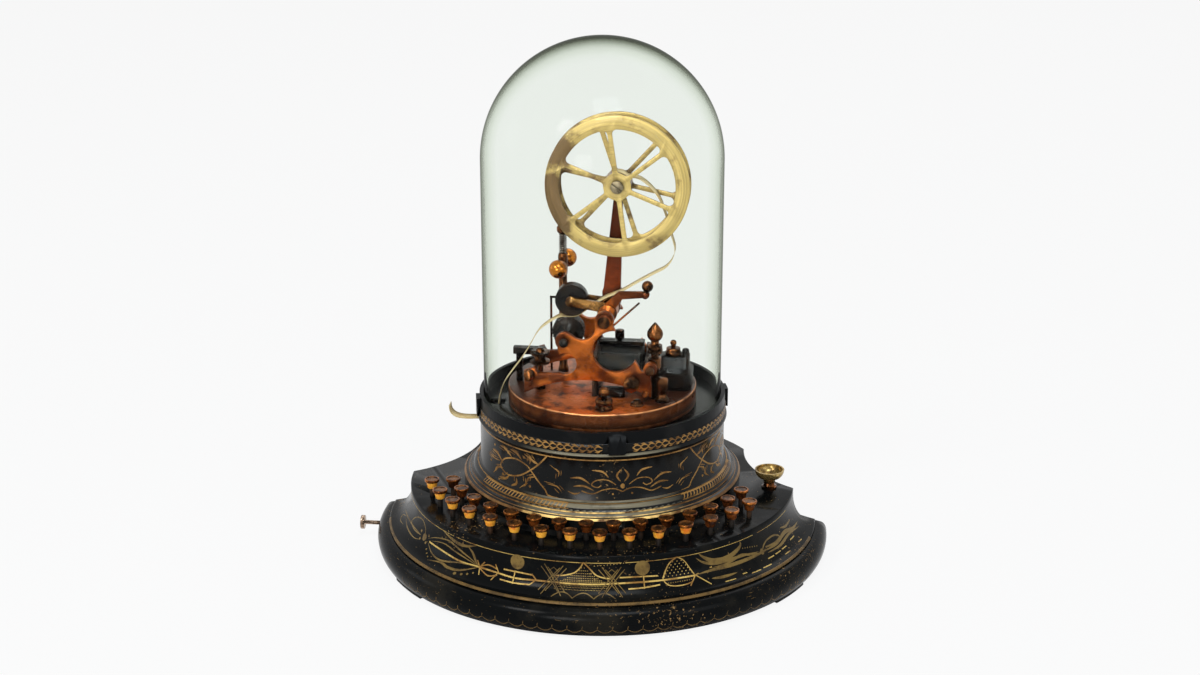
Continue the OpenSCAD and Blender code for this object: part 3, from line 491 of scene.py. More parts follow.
def use_group(tree, group, **values):
    """Places a shader group in a material with its own values, colours and links"""
    node = tree.nodes.new("ShaderNodeGroup")
    node.node_tree = bpy.data.node_groups[group]
    for key, value in values.items():
        socket = node.inputs[key.replace("_", " ").title()]
        if is_socket(value):
            tree.links.new(value, socket)
        else:
            socket.default_value = (*value, 1) if socket.type == "RGBA" else value
    return node


def bump(tree, shader, height, strength, distance=0.0002):
    """Feeds a height into a shader's normal"""
    node = add(tree, "Bump", {"Height": height, "Strength": strength, "Distance": distance})
    tree.links.new(node.outputs["Normal"], shader.inputs["Normal"])


def dress(tree, shader, tone, metallic=0.0, shine=0.5, colour=None):
    """Gives a shader an aged surface's roughness and colour, or another colour, and its metal and shine"""
    tree.links.new(tone.outputs["Color"] if colour is None else colour, shader.inputs["Base Color"])
    tree.links.new(tone.outputs["Roughness"], shader.inputs["Roughness"])
    shader.inputs["Metallic"].default_value = metallic
    shader.inputs["Specular IOR Level"].default_value = shine


def patina_material(name, clean, aged, metallic, roughness, patch=60.0, amount=0.42, grain=900.0,
                    relief=0.12, shine=0.5, dirt=(0.012, 0.008, 0.005), reach=0.004):
    """Aged metal or lacquer, with grime and painted shade in its corners"""
    material, tree, shader = new_material(name)
    tone = use_group(tree, "Patina", clean=clean, aged=aged, dirt=dirt, patch_size=patch, amount=amount,
                     base_roughness=roughness, grain=grain, dirt_reach=reach)
    dress(tree, shader, tone, metallic, shine)
    bump(tree, shader, tone.outputs["Height"], relief)
    return material


def coated_material(name, coat, front, under, chips, metallic, shine, relief, depth):
    """An aged coat that is chipped through to what is under it, with a painted highlight colour at the front
    if given
    """
    material, tree, shader = new_material(name)
    if front:
        coat["clean"] = front_blend(tree, coat["clean"], front)
    tone = use_group(tree, "Patina", **coat)
    mask = use_group(tree, "Chips", **chips).outputs["Mask"]
    dress(tree, shader, tone, metallic, shine, mix(tree, mask, tone.outputs["Color"], under))
    bump(tree, shader, tone.outputs["Height"], relief, depth)
    return material


def japan_material(name, gloss, front=None):
    """Black japan lacquer, rubbed thin and chipped here and there, with a painted highlight at the front of
    a moulding if given
    """
    coat = {"clean": bpy.context.scene.ticker_base.lacquer, "aged": (0.01, 0.009, 0.007),
            "dirt": (0.001, 0.001, 0.001), "patch_size": 22.0, "amount": 0.3 if front else 0.36,
            "base_roughness": 0.2, "grain": 260.0, "dirt_reach": 0.006}
    chips = {"size": 420.0, "rarity": 0.85, "region_size": 16.0}
    return coated_material(name, coat, front, (0.3, 0.18, 0.07, 1), chips, 0.0, gloss, 0.1, 0.0003)


def gold_material(name, clean, worn, rarity, front=None):
    """Gold size and bronze powder, worn to the lacquer in places, with a painted highlight colour in front
    if given
    """
    coat = {"clean": clean, "aged": worn, "dirt": (0.03, 0.018, 0.006), "patch_size": 70.0, "amount": 0.4,
            "base_roughness": 0.42, "grain": 1400.0, "dirt_reach": 0.002}
    chips = {"size": 900.0, "rarity": rarity, "region_size": 30.0}
    return coated_material(name, coat, front, (0.012, 0.01, 0.007, 1), chips, 0.15, 0.15, 0.15, 0.0002)


def brushed_material(name, clean, aged, roughness, stretch=(1.0, 1.0, 1.0), scale=500.0, amount=0.4,
                     patch=45.0, relief=0.25, metallic=0.8, streak=0.5, dirt=(0.03, 0.016, 0.006)):
    """Brushed metal with tarnish"""
    material, tree, shader = new_material(name)
    lines = use_group(tree, "Brushed Lines", stretch=stretch, scale=scale)
    brush_metal(tree, shader, lines, clean, aged, dirt, patch, amount, roughness, relief, metallic, streak)
    return material


def reel_material(name, clean):
    """Brass turned on a lathe, more tarnished at its left edge"""
    material, tree, shader = new_material(name)
    centre = tuple((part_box("reel_discs")[0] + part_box("reel_discs")[1]) / 2)
    lines = use_group(tree, "Turned Lines", centre=centre, scale=1100.0)
    start, end = (centre[0] - reach for reach in TARNISH_SPAN)
    tarnish = spread(tree, position_along(tree, "X"), start, end, *TARNISH)
    brush_metal(tree, shader, lines, clean, (0.15, 0.085, 0.026), (0.06, 0.03, 0.01), 60.0, tarnish, 0.46,
                0.15, 0.35, 0.36)
    return material


def brush_metal(tree, shader, lines, clean, aged, dirt, patch, amount, roughness, relief, metallic, streak):
    """Lays brushed or turned lines over tarnished metal"""
    tone = use_group(tree, "Patina", clean=clean, aged=aged, dirt=dirt, patch_size=patch, amount=amount,
                     base_roughness=roughness, grain=800.0)
    streaks = ramp(tree, lines.outputs["Height"], 0.35, 0.65, (1 - streak, 1 - streak, 1 - streak))
    dress(tree, shader, tone, metallic, colour=mix(tree, 1.0, tone.outputs["Color"], streaks, "MULTIPLY"))
    bump(tree, shader, lines.outputs["Height"], relief, 0.0001)


def glass_material(name, edged):
    """Blown glass that lets light reach what it covers; where edged, painted dark green at its edge as
    painted shade and darker at its crown
    """
    tint = (*bpy.context.scene.ticker_dome.glass, 1)
    material, tree, shader = new_material(name)
    shader.inputs["Base Color"].default_value = tint
    if edged:
        # Painted shade: the tint darkens as the glass is seen more edge-on, and towards the crown
        facing = add(tree, "LayerWeight", {"Blend": 0.5}).outputs["Facing"]
        crown = spread(tree, position_along(tree, "Z"), *CROWN_SPAN, 0.0, CROWN_SHADE)
        edge = colour_steps(tree, calc(tree, "ADD", facing, crown), GLASS_EDGE)
        tree.links.new(mix(tree, 1.0, edge, tint, "MULTIPLY"), shader.inputs["Base Color"])
    shader.inputs["Metallic"].default_value = 0.0
    shader.inputs["Roughness"].default_value = 0.0
    shader.inputs["IOR"].default_value = 1.012
    shader.inputs["Transmission Weight"].default_value = 1.0
    shader.inputs["Coat Weight"].default_value = 0.05
    path = add(tree, "LightPath").outputs
    both = add(tree, "MixShader", {0: calc(tree, "MAXIMUM", path["Is Shadow Ray"], path["Is Diffuse Ray"]),
                                   1: shader.outputs[0], 2: add(tree, "BsdfTransparent").outputs[0]})
    tree.links.new(both.outputs[0], tree.nodes["Material Output"].inputs["Surface"])
    bump(tree, shader, noise(tree, position(tree), 9.0, 1.0), 0.05, 0.004)
    return material


def winding_material():
    """Silk-covered wire wound in close turns along X"""
    material, tree, shader = new_material("silk_winding")
    turns = add(tree, "TexWave", {"Vector": position(tree), "Scale": 420.0, "Distortion": 0.6,
                                  "Detail": 1.0}, wave_type="BANDS", bands_direction="X")
    tone = use_group(tree, "Patina", clean=(0.005, 0.0055, 0.005), aged=(0.022, 0.016, 0.01),
                     dirt=(0.002, 0.002, 0.002), patch_size=90.0, amount=0.38, base_roughness=0.45,
                     grain=1500.0)
    dress(tree, shader, tone, shine=0.25)
    bump(tree, shader, turns.outputs["Fac"], 0.7, 0.0004)
    return material


def shaded_material(name, foot, top, shades, axis="Z"):
    """Worn bronze whose colour changes along an axis, from (share, colour) pairs between two places on it"""
    material, tree, shader = new_material(name)
    rise = spread(tree, position_along(tree, axis), foot * MM, top * MM)
    tone = use_group(tree, "Patina", clean=colour_steps(tree, rise, shades), aged=(0.06, 0.016, 0.007),
                     dirt=(0.012, 0.006, 0.003), patch_size=60.0, amount=0.38, base_roughness=0.3,
                     grain=700.0)
    dress(tree, shader, tone, 0.5, 0.15)
    bump(tree, shader, tone.outputs["Height"], 0.1)
    return material


def make_materials():
    """Builds every group and material once"""
    patina_group()
    chips_group()
    brush_group()
    turned_group()
    base = bpy.context.scene.ticker_base
    move = bpy.context.scene.ticker_movement
    bronze = tuple(move.bronze)
    # Bronze darkened as painted shade for the bedplate's left and right ends
    dull_bronze = tuple(0.08 * c for c in bronze)
    MATERIALS.update(
        japan=japan_material("black_japan", 0.045),
        drum_japan=japan_material("drum_japan", 0.13),
        # Lacquer of the drum's mouldings, with a warm painted highlight at the front
        rubbed_japan=japan_material("rubbed_japan", 0.14, (0.17, 0.15, 0.1)),
        gold=gold_material("gold_ornament", base.gold, (0.22, 0.11, 0.025), 0.78),
        dull_gold=gold_material("dull_gold_band", (0.17, 0.108, 0.03), (0.08, 0.048, 0.015), 0.8),
        drum_gold=gold_material("drum_gold", (0.34, 0.18, 0.05), (0.15, 0.07, 0.018), 0.78),
        # Gold of the drum's foot, with a bright painted highlight at the front
        foot_gold=gold_material("foot_gold", (0.2, 0.1, 0.03), (0.1, 0.045, 0.013), 0.82,
                                (1.0, 0.66, 0.22)),
        faint_gold=gold_material("faint_gold_line", (0.13, 0.075, 0.022), (0.06, 0.036, 0.012), 0.76),
        # The bedplate's side: painted bands of reflection and shade down its height, and a painted highlight
        # along its top edge
        bed_side=shaded_material("bedplate_edge", low("bedplate").z, BED_TOP, (
            (0.0, (0.34, 0.11, 0.035)), (0.16, (0.4, 0.13, 0.045)), (0.22, (0.05, 0.018, 0.008)),
            (0.36, (0.1, 0.032, 0.012)), (0.62, (0.24, 0.07, 0.022)), (0.88, (0.12, 0.035, 0.012)),
            (0.95, (0.6, 0.24, 0.09)))),
        # The bedplate's top: painted shade towards its left and right ends
        bed_top=shaded_material("bedplate_top", low("bedplate").x, high("bedplate").x, (
            (0.0, dull_bronze), (0.1, dull_bronze), (0.24, bronze), (0.7, bronze), (0.84, dull_bronze),
            (1.0, dull_bronze)), "X"),
        post=shaded_material("reel_post_bronze", BED_TOP, high("reel_post").z, (
            (0.1, (0.42, 0.085, 0.013)), (0.36, (0.2, 0.032, 0.005)), (0.7, (0.085, 0.016, 0.004)))),
        glass=glass_material("blown_glass", True),
        glass_inside=glass_material("blown_glass_inside", False),
        winding=winding_material(),
        reel_brass=reel_material("reel_brass", move.reel),
        brass=brushed_material(
            "old_brass", (0.42, 0.2, 0.05), (0.1, 0.04, 0.012), 0.28, stretch=(1.0, 25.0, 1.0),
            amount=0.42, patch=80.0, dirt=(0.015, 0.007, 0.003)),
        knob=brushed_material(
            "knob_brass", (0.55, 0.38, 0.13), (0.14, 0.08, 0.025), 0.26,
            patch=90.0, relief=0.15, dirt=(0.02, 0.012, 0.005)),
        paper=patina_material(
            "paper_tape", (0.62, 0.5, 0.27), (0.5, 0.33, 0.12), 0.0, 0.75,
            patch=40.0, amount=0.36, grain=2600.0, relief=0.2, shine=0.2, dirt=(0.2, 0.12, 0.04),
            reach=0.003),
        ring=patina_material(
            "ring_black", (0.004, 0.0045, 0.005), (0.01, 0.01, 0.01), 0.0, 0.34,
            patch=35.0, amount=0.36, shine=0.05, dirt=(0.001, 0.001, 0.001)),
        board=patina_material(
            "stained_board", (0.05, 0.028, 0.014), (0.02, 0.012, 0.008), 0.0, 0.6, patch=30.0, shine=0.2),
        frame_bronze=patina_material(
            "frame_bronze", (0.9 * bronze[0], 0.9 * bronze[1], 0.014), (0.1, 0.022, 0.005), 0.55, 0.32,
            patch=55.0, amount=0.44, grain=700.0, relief=0.1, shine=0.12, dirt=(0.015, 0.004, 0.0015),
            reach=0.009),
        dark_bronze=patina_material(
            "dark_bronze", (0.17, 0.058, 0.016), (0.016, 0.007, 0.003), 0.92, 0.24,
            patch=120.0, amount=0.44, shine=0.3, dirt=(0.006, 0.003, 0.0015)),
        ball=patina_material(
            "governor_brass", (0.5, 0.17, 0.022), (0.1, 0.025, 0.005), 0.92, 0.18,
            patch=70.0, amount=0.4, grain=500.0, relief=0.04, dirt=(0.02, 0.006, 0.002)),
        spring=patina_material(
            "spring_steel", (0.2, 0.17, 0.14), (0.05, 0.035, 0.025), 0.8, 0.3,
            patch=200.0, amount=0.4, dirt=(0.004, 0.003, 0.002)),
        # Darker brass for the reel's rims and the walls between its discs, as painted shade
        reel_side=patina_material(
            "reel_side", (0.26, 0.19, 0.085), (0.1, 0.06, 0.022), 0.5, 0.42,
            shine=0.2, dirt=(0.03, 0.018, 0.008)),
        key_brass=patina_material(
            "key_brass", move.key, (0.85, 0.2, 0.018), 0.1, 0.3,
            patch=160.0, amount=0.36, grain=1200.0, relief=0.06, dirt=(0.3, 0.05, 0.008), reach=0.0012),
        # Darker key cups: painted shade for the inner row and for the keys on the right
        worn_key_brass=patina_material(
            "worn_key_brass", (0.2, 0.052, 0.009), (0.04, 0.011, 0.003), 0.3, 0.28,
            patch=200.0, grain=1200.0, relief=0.06, dirt=(0.05, 0.012, 0.003), reach=0.0012),
        key_rim=patina_material(
            "key_rim", (0.34, 0.11, 0.02), (0.06, 0.016, 0.004), 0.8, 0.26,
            patch=240.0, amount=0.43, shine=0.2),
        key_top=patina_material(
            "key_top", (0.2, 0.075, 0.016), (0.025, 0.009, 0.003), 0.7, 0.3,
            patch=300.0, amount=0.45, grain=1500.0, relief=0.2, shine=0.15),
        rubber=patina_material(
            "hard_rubber", (0.005, 0.004, 0.0035), (0.02, 0.011, 0.006), 0.0, 0.24,
            amount=0.38, shine=0.14, dirt=(0.001, 0.001, 0.001)),
        steel=patina_material(
            "dark_steel", (0.03, 0.024, 0.02), (0.07, 0.035, 0.018), 0.5, 0.4,
            patch=110.0, amount=0.38, shine=0.3, dirt=(0.003, 0.002, 0.002)),
        screw=patina_material(
            "worn_screw", (0.2, 0.16, 0.1), (0.08, 0.06, 0.035), 0.8, 0.42,
            patch=200.0, amount=0.38, dirt=(0.02, 0.014, 0.008)),
        rod=patina_material(
            "bright_rod", (0.5, 0.36, 0.26), (0.16, 0.09, 0.05), 0.8, 0.22, patch=120.0, amount=0.4),
    )


# Ornament laid on curved surfaces

def on_cove(turn, height, lift=0.0):
    """Point on the base's cove, at an angle from the front and a height"""
    depth = DECK_Z - LIP_H - COVE_Z
    a = math.asin(min(max((DECK_Z - LIP_H - height) / depth, 0.0), 1.0))
    out = Vector((depth * math.cos(a), COVE_OUT * math.sin(a))).normalized()
    radius = DECK_R + COVE_OUT * (1 - math.cos(a)) + out.x * lift
    return around(turn, radius, DECK_Z - LIP_H - depth * math.sin(a) + out.y * lift)


def on_neck(turn, angle, lift=0.0):
    """Point on the small bead between the cove and the round moulding, at an angle round its section"""
    a = math.radians(angle)
    return around(turn, DECK_R + COVE_OUT + (NECK_BEAD_R + lift) * math.cos(a),
                  COVE_Z - NECK_BEAD_R + (NECK_BEAD_R + lift) * math.sin(a))


def on_torus(turn, angle, lift=0.0):
    """Point on the round lower moulding, at an angle from the front and one round its section"""
    across = TORUS_OUT - NECK_OUT
    up = TORUS_FALL if angle < 0 else TORUS_TOP - TORUS_Z
    a = math.radians(angle)
    out = Vector((up * math.cos(a), across * math.sin(a))).normalized()
    radius = DECK_R + NECK_OUT + across * math.cos(a) + out.x * lift
    return around(turn, radius, TORUS_Z + up * math.sin(a) + out.y * lift)


def on_waist(turn, height, lift=0.0):
    """Point on the drum's waist, at an angle from the drum's front"""
    return around(turn + DRUM_TURN, WAIST_R + lift, height)


def on_shoulder(turn, height, lift=0.0):
    """Point on the drum's upper band"""
    return around(turn + DRUM_TURN, DRUM_R + lift, height)


def on_foot(turn, angle, lift=0.0):
    """Point on the round step at the waist's foot, at an angle round its section"""
    a = math.radians(angle)
    return around(turn + DRUM_TURN, WAIST_R + STEP_OUT + (STEP_R + lift) * math.cos(a),
                  FOOT_TOP - STEP_R + (STEP_R + lift) * math.sin(a))


def on_hollow(turn, angle, lift=0.0):
    """Point on the hollow above the plinth, at an angle round its section"""
    a = math.radians(angle)
    return around(turn + DRUM_TURN, PLINTH_R - HOLLOW_IN - (HOLLOW_R - lift) * math.cos(a),
                  PLINTH_TOP + STEP_R - (STEP_R - lift) * math.sin(a))


def on_plinth_edge(turn, across, lift=0.0):
    """Point on the plinth's broken upper edge, across it from its middle"""
    reach = lift / math.sqrt(2)
    return around(turn + DRUM_TURN, PLINTH_R - PLINTH_EDGE - across + reach,
                  PLINTH_TOP - PLINTH_EDGE + across + reach)


def around(turn, radius, height):
    """Point at an angle in degrees from the front towards +X, in metres"""
    a = math.radians(turn)
    return Vector((radius * math.sin(a), -radius * math.cos(a), height)) * MM


class Ornament:
    """Collects painted lines and dots and turns them into one thin raised mesh"""

    def __init__(self, place):
        self.place = place
        self.rise = bpy.context.scene.ticker_base.paint / MM
        self.verts = []
        self.faces = []

    def line(self, points, width=0.8, taper=False, close=False):
        """A painted line through (u, v) points, as wide as width, thinned to its ends by taper"""
        count = len(points)
        centres = [self.place(*p) for p in points]
        first = len(self.verts)
        for i, p in enumerate(points):
            before = centres[(i - 1) % count] if close else centres[max(i - 1, 0)]
            after = centres[(i + 1) % count] if close else centres[min(i + 1, count - 1)]
            along = (after - before).normalized()
            normal = (self.place(*p, 1.0) - centres[i]).normalized()
            side = normal.cross(along).normalized()
            share = math.sin(math.pi * (i + 0.35) / (count - 0.3)) if taper else 1.0
            half = side * max(width * share, LEAST_LINE) * MM / 2
            base, top = -normal * PAINT_SINK * MM, normal * self.rise * MM
            self.verts += [centres[i] + half + base, centres[i] + half * LINE_TOP + top,
                           centres[i] - half * LINE_TOP + top, centres[i] - half + base]
        for i in range(count if close else count - 1):
            a, b = first + 4 * i, first + 4 * ((i + 1) % count)
            for k in range(4):
                m = (k + 1) % 4
                self.faces.append([a + k, b + k, b + m, a + m])
        if not close:
            last = first + 4 * (count - 1)
            self.faces.append([first, first + 1, first + 2, first + 3])
            self.faces.append([last + 3, last + 2, last + 1, last])

    def sheet(self, rows, close=False):
        """A painted field over rows of (u, v) points, following the surface"""
        wide = len(rows[0])
        first = len(self.verts)
        for lift in (-PAINT_SINK, self.rise):
            for row in rows:
                self.verts += [self.place(u, v, lift) for u, v in row]
        layer = len(rows) * wide
        for r in range(len(rows) - 1):
            for k in range(wide if close else wide - 1):
                a, b = first + r * wide + k, first + r * wide + (k + 1) % wide
                self.faces.append([a, a + wide, b + wide, b])
                self.faces.append([n + layer for n in (a, b, b + wide, a + wide)])
        for row in (0, (len(rows) - 1) * wide):
            for k in range(wide if close else wide - 1):
                a, b = first + row + k, first + row + (k + 1) % wide
                self.faces.append([a, b, b + layer, a + layer])

    def dot(self, u, v, radius, stretch=1.0, sides=8):
        """A painted spot with its radius in millimetres, following the surface"""
        here = self.place(u, v)
        across = (self.place(u + 0.5, v) - here).length / MM * 2
        up = (self.place(u, v - 0.5) - here).length / MM * 2
        ru, rv = radius / across, radius * stretch / up
        rows = []
        for share in (1.0, 0.6, 0.15) if radius > 2 else (1.0, 0.15):
            turn = [2 * math.pi * k / sides for k in range(sides)]
            rows.append([(u + ru * share * math.cos(a), v + rv * share * math.sin(a)) for a in turn])
        self.sheet(rows, close=True)
        last, layer = len(self.verts) - sides, len(rows) * sides
        self.faces.append([last + k for k in range(sides)])
        self.faces.append([last - layer + k for k in range(sides)][::-1])

    def strokes(self, curves):
        """Painted strokes, each given as its width, whether it thins to its ends, and its points"""
        for width, taper, points in curves:
            self.line(spline(points, 6), width, taper)

    def piece(self, name, paint="gold"):
        """The finished mesh, fixed to the base"""
        painted = new_object(name, self.verts, self.faces)
        return carry(painted, "root", slot_of("base_body"), paint)


def mirrored(points, centre):
    """The same (u, v) points on the other side of a centre line"""
    return [(2 * centre - u, v) for u, v in points]


def band(low_edge, high_edge, start, end, steps, rows=4):
    """Rows of (u, v) points for a field between two edges"""
    levels = [low_edge + (high_edge - low_edge) * r / rows for r in range(rows + 1)]
    return [ring_points(v, start, end, steps) for v in levels]


def ring_points(v, start, end, steps):
    """(u, v) points along a level line"""
    return [(start + (end - start) * i / steps, v) for i in range(steps + 1)]


def cove_ornament():
    """Main line with rails, crossings, ovals, arch and fan on the cove"""
    paint = Ornament(on_cove)
    paint.strokes((
        (1.3, False, [(-52, 35), (-44.9, 34.6), (-36.6, 33.5), (-29.7, 34.2), (-23.4, 33.8), (-18, 33),
                      (-12.2, 33.7), (-7, 34), (4, 34), (12.5, 34.6), (23.7, 34.4), (33, 34)]),
        (1.1, False, [(-21.8, 37.2), (-17, 37.2), (-12.9, 36.9)]),
        (1.1, False, [(-22.2, 30.4), (-18, 30), (-13.3, 30.6)]),
        (1.1, False, [(11.4, 38.4), (17, 38.3), (22.2, 37.7)]),
        (1.1, False, [(13.6, 30.8), (18, 31), (22.4, 31.8)]),
        (1, False, [(-6.6, 38.6), (-4.1, 39.2), (-1.1, 41.6), (0.6, 46), (1.2, 49.6)]),
        (1, False, [(9, 37.8), (7, 38.4), (4.8, 40.4), (3, 45.2), (1.3, 49.6)]),
        (1.1, False, [(27.8, 49.6), (25.4, 45), (23.4, 35.4)]),
        (0.8, False, [(27.9, 49.6), (30, 46), (31.6, 39.6), (32.8, 34.4)]),
        (0.9, False, [(23.6, 33.6), (25, 30.6), (28, 29.6), (31.4, 30.4), (32.8, 33.6)]),
        (1, False, [(-29.4, 34.8), (-26.8, 37.4), (-23.6, 36)]),
        (1, False, [(-29.4, 33.6), (-26.2, 30.6), (-23.4, 32.4)]),
    ))
    fine = Ornament(on_cove)
    for ends in (
            ((-12.9, 36.9), (-11.6, 33.8)), ((-13.3, 30.6), (-12, 33.6)), ((-18.2, 29.4), (-18.2, 37.8)),
            ((18, 30.4), (18, 38.8)), ((-24.6, 39.2), (-23.2, 34.2)), ((-23.2, 34.2), (-24.8, 28.6)),
            ((-30.8, 38.4), (-29.6, 34.2)), ((-28.2, 38.6), (-29.6, 34.2)), ((-29.6, 34.2), (-29, 29.6)),
            ((33, 34.2), (38.6, 37)), ((33, 34.2), (36.8, 27)), ((33, 34.2), (30.8, 28.4))):
        paint.line(ends, 0.9)
    for centre in (-7, 9.2):
        for lean in (1, -1):
            for shift in (-1.9, 0, 1.9):
                a = (centre + lean * (2.7 + shift * 0.5), 46.2 - abs(shift))
                b = (centre - lean * (2.7 - shift * 0.5), 26.6 + abs(shift))
                fine.line([a, ((a[0] + b[0]) / 2, (a[1] + b[1]) / 2), b], 0.6)
        diamond = [(centre, 44.4), (centre + 1.4, 41.4), (centre, 38), (centre - 1.4, 41.4)]
        fine.line(diamond, 0.6, close=True)
    for k in range(3):
        start = -6.8 + 5.6 * k
        fine.line([(start + 5.6 * t / 10, 26.0 + 2.7 * math.sin(math.pi * t / 10)) for t in range(11)], 0.8)
    for row, v in enumerate((45.4, 43.2, 41.2, 39.4, 37.8, 36.4, 35.4)):
        reach = 0.4 + row * 0.95
        count = 2 + row * 4
        for k in range(count):
            paint.dot(1.2 - reach + 2 * reach * k / max(count - 1, 1), v, 0.34, sides=5)
    for v in (31.6, 30.2, 32.8):
        for k in range(34):
            paint.dot(-6.4 + 0.42 * (k + v % 1), v, 0.26, sides=5)
    for row in range(6):
        left, right = 26.6 - 0.55 * row, 29.2 + 0.6 * row
        for k in range(row + 3):
            paint.dot(left + (right - left) * k / (row + 2), 46.4 - 2.0 * row, 0.42, sides=6)
    for k in range(11):
        paint.dot(24.8 + 0.68 * k, 32, 0.36, sides=5)
        paint.dot(4.4 + 0.9 * k, 47.0 + 0.22 * k, 0.34, sides=5)
    for side in (-1, 1):
        fine.dot(side * 17.8, 44.6, 5.6, 1, 32)
    fine.piece("cove_crossings", "dull_gold")
    left_scrolls()
    right_scrolls()
    return paint.piece("cove_lines")


def left_scrolls():
    """Flower, loops and bulging leaves at the keyboard front's left end"""
    paint = Ornament(on_cove)
    paint.strokes((
        (1, False, [(-55.4, 35.9), (-56.3, 41.6), (-59.4, 45.4), (-64.6, 41.6), (-67.2, 35.6), (-63.2, 33.6),
                      (-58, 34.6)]),
        (1.3, True, [(-57.6, 34.9), (-69.7, 34), (-79, 32.2)]),
        (1.1, True, [(-74, 32.6), (-71, 30.8), (-65.4, 29.8), (-59.7, 30.2), (-56.2, 33.2)]),
        (1, True, [(-71.4, 28.4), (-75.8, 27.4), (-77.6, 29.4), (-73, 33.2)]),
        (1.5, True, [(-53.4, 36), (-49.3, 40.5), (-43.6, 43.6), (-40, 42.2), (-36.3, 39.7), (-33, 37.4),
                     (-30, 34.6)]),
        (1.2, True, [(-51.2, 36.4), (-45.2, 39.8), (-40, 38.4), (-34.6, 36.5), (-30, 34.5)]),
        (1.5, True, [(-53, 34.6), (-49.4, 30.4), (-45, 28.8), (-40.8, 30.2), (-36.4, 32.6), (-30, 34)]),
        (2.7, True, [(-46.4, 49.4), (-43.4, 47.2), (-39.2, 45), (-35.4, 45.6), (-31.6, 48.8)]),
        (2.2, True, [(-35.2, 46.4), (-33, 42.4), (-31.6, 38), (-30.2, 34.4)]),
        (2.3, True, [(-48.2, 26), (-43.2, 28), (-39.7, 27.4), (-35.3, 28.7), (-30, 33.8)]),
    ))
    paint.dot(-55.3, 35.4, 3, 1, 14)
    for u, v in ((-58.2, 37.4), (-53.2, 38.2), (-53.6, 32.8), (-57.4, 32.4)):
        paint.dot(u, v, 1.2)
    for u, v, radius in (
            (-51.7, 29.9, 0.8), (-50.4, 28.3, 0.8), (-49.1, 27.2, 0.7), (-47, 26.6, 0.6), (-36.4, 26.3, 1.5),
            (-34.3, 27, 1.2), (-32.6, 28.1, 1), (-31, 29.6, 0.8), (-44.6, 45, 0.6), (-46.4, 43.4, 0.6)):
        paint.dot(u, v, radius)
    return paint.piece("left_scrolls", "dull_gold")


def right_scrolls():
    """Leaves, loop and worn sweep at the keyboard front's right end"""
    paint = Ornament(on_cove)
    paint.strokes((
        (4.2, True, [(34.6, 49), (36.4, 45), (39, 41.2), (43, 39.8), (47, 41.6), (49.6, 45.2),
                     (49.4, 49.2)]),
        (2.9, True, [(33.8, 46), (36, 41.6), (39.6, 38.8), (44.4, 38.2), (50.5, 37.3), (57, 35)]),
        (2.1, True, [(38.2, 36.4), (44.2, 36.2), (49.3, 38.2), (52.9, 36), (57.2, 34)]),
        (3, True, [(33.4, 34.2), (38.5, 34.8), (45.7, 34.2), (55.4, 33.8), (62, 33.8)]),
        (1.5, False, [(58.6, 35.6), (61, 39.4), (65.4, 39.6), (68.4, 36), (64.8, 34.6), (60, 35.6)]),
        (3.6, True, [(59, 33.8), (65.2, 33.4), (72, 35.6), (78, 32.6), (84, 31.6)]),
        (2.4, True, [(60, 31.6), (67, 31), (74, 32.4), (83, 29.2)]),
        (2.4, True, [(37.6, 29.8), (41, 29), (46, 28.8)]),
        (2.2, True, [(70, 41), (74, 38.4), (79, 38.8)]),
    ))
    paint.dot(57.9, 34.2, 2.4, 1, 12)
    for k in range(7):
        paint.dot(50.4 + 1.0 * k, 42.6 - 0.5 * k, 0.55, sides=6)
    bright = Ornament(on_cove)
    for start, end, v in ((50.1, 59.4, 26), (58.8, 70, 28.6), (65.7, 69.5, 26), (72.6, 77, 29.2),
                          (74.8, 78, 25.8), (41, 45.6, 26.4), (47.4, 49.4, 27.2)):
        count = max(int((end - start) / 3.2), 1)
        step = (end - start) / count
        for k in range(count):
            u = start + step * k
            bright.line([(u, v), (u + step * 0.38, v - 0.08), (u + step * 0.76, v - 0.15)], 0.9)
    bright.piece("edge_dashes")
    return paint.piece("right_scrolls", "dull_gold")


def edge_lines():
    """Gold lines along the deck's edge, the groove and the round moulding; the deck's edge line is partly a
    painted highlight
    """
    paint = Ornament(on_cove)
    # A thin gold line under the lip's edge: partly worn gilt, partly a painted highlight on the edge
    for start, end in ((-77, -41), (-40, 12), (13, 55), (57, 76)):
        paint.line(ring_points(49.3, start, end, 60), 0.5)
    paint.piece("deck_edge_line")
    neck = Ornament(on_neck)
    neck.sheet(band(8, 84, -80, 80, 160))
    neck.piece("groove_band", "faint_gold")
    low_line = Ornament(on_torus)
    count = 34
    span = 122.0 / count
    for k in range(count):
        left = -52 + span * k
        for depth in (15, 12):
            scallop = [(left + span * t / 6, -16.0 - depth * math.sin(math.pi * t / 6)) for t in range(7)]
            low_line.line(scallop, 0.34)
        low_line.line([(left, -13), (left + 0.12, -3)], 0.5)
    draw = random.Random(7)
    for _ in range(300):
        turn = draw.choice((draw.uniform(-78, 78), draw.uniform(-78, -35), draw.uniform(45, 78)))
        low_line.dot(turn, draw.uniform(5, 80), draw.uniform(0.12, 0.42), 0.6, 5)
    for _ in range(26):
        turn, v = draw.uniform(-70, 76), draw.uniform(10, 60)
        scratch = [(turn, v), (turn + draw.uniform(0.5, 1.4), v - draw.uniform(-3, 3))]
        low_line.line(scratch, 0.45, taper=True)
    low_line.piece("moulding_ornament", "faint_gold")


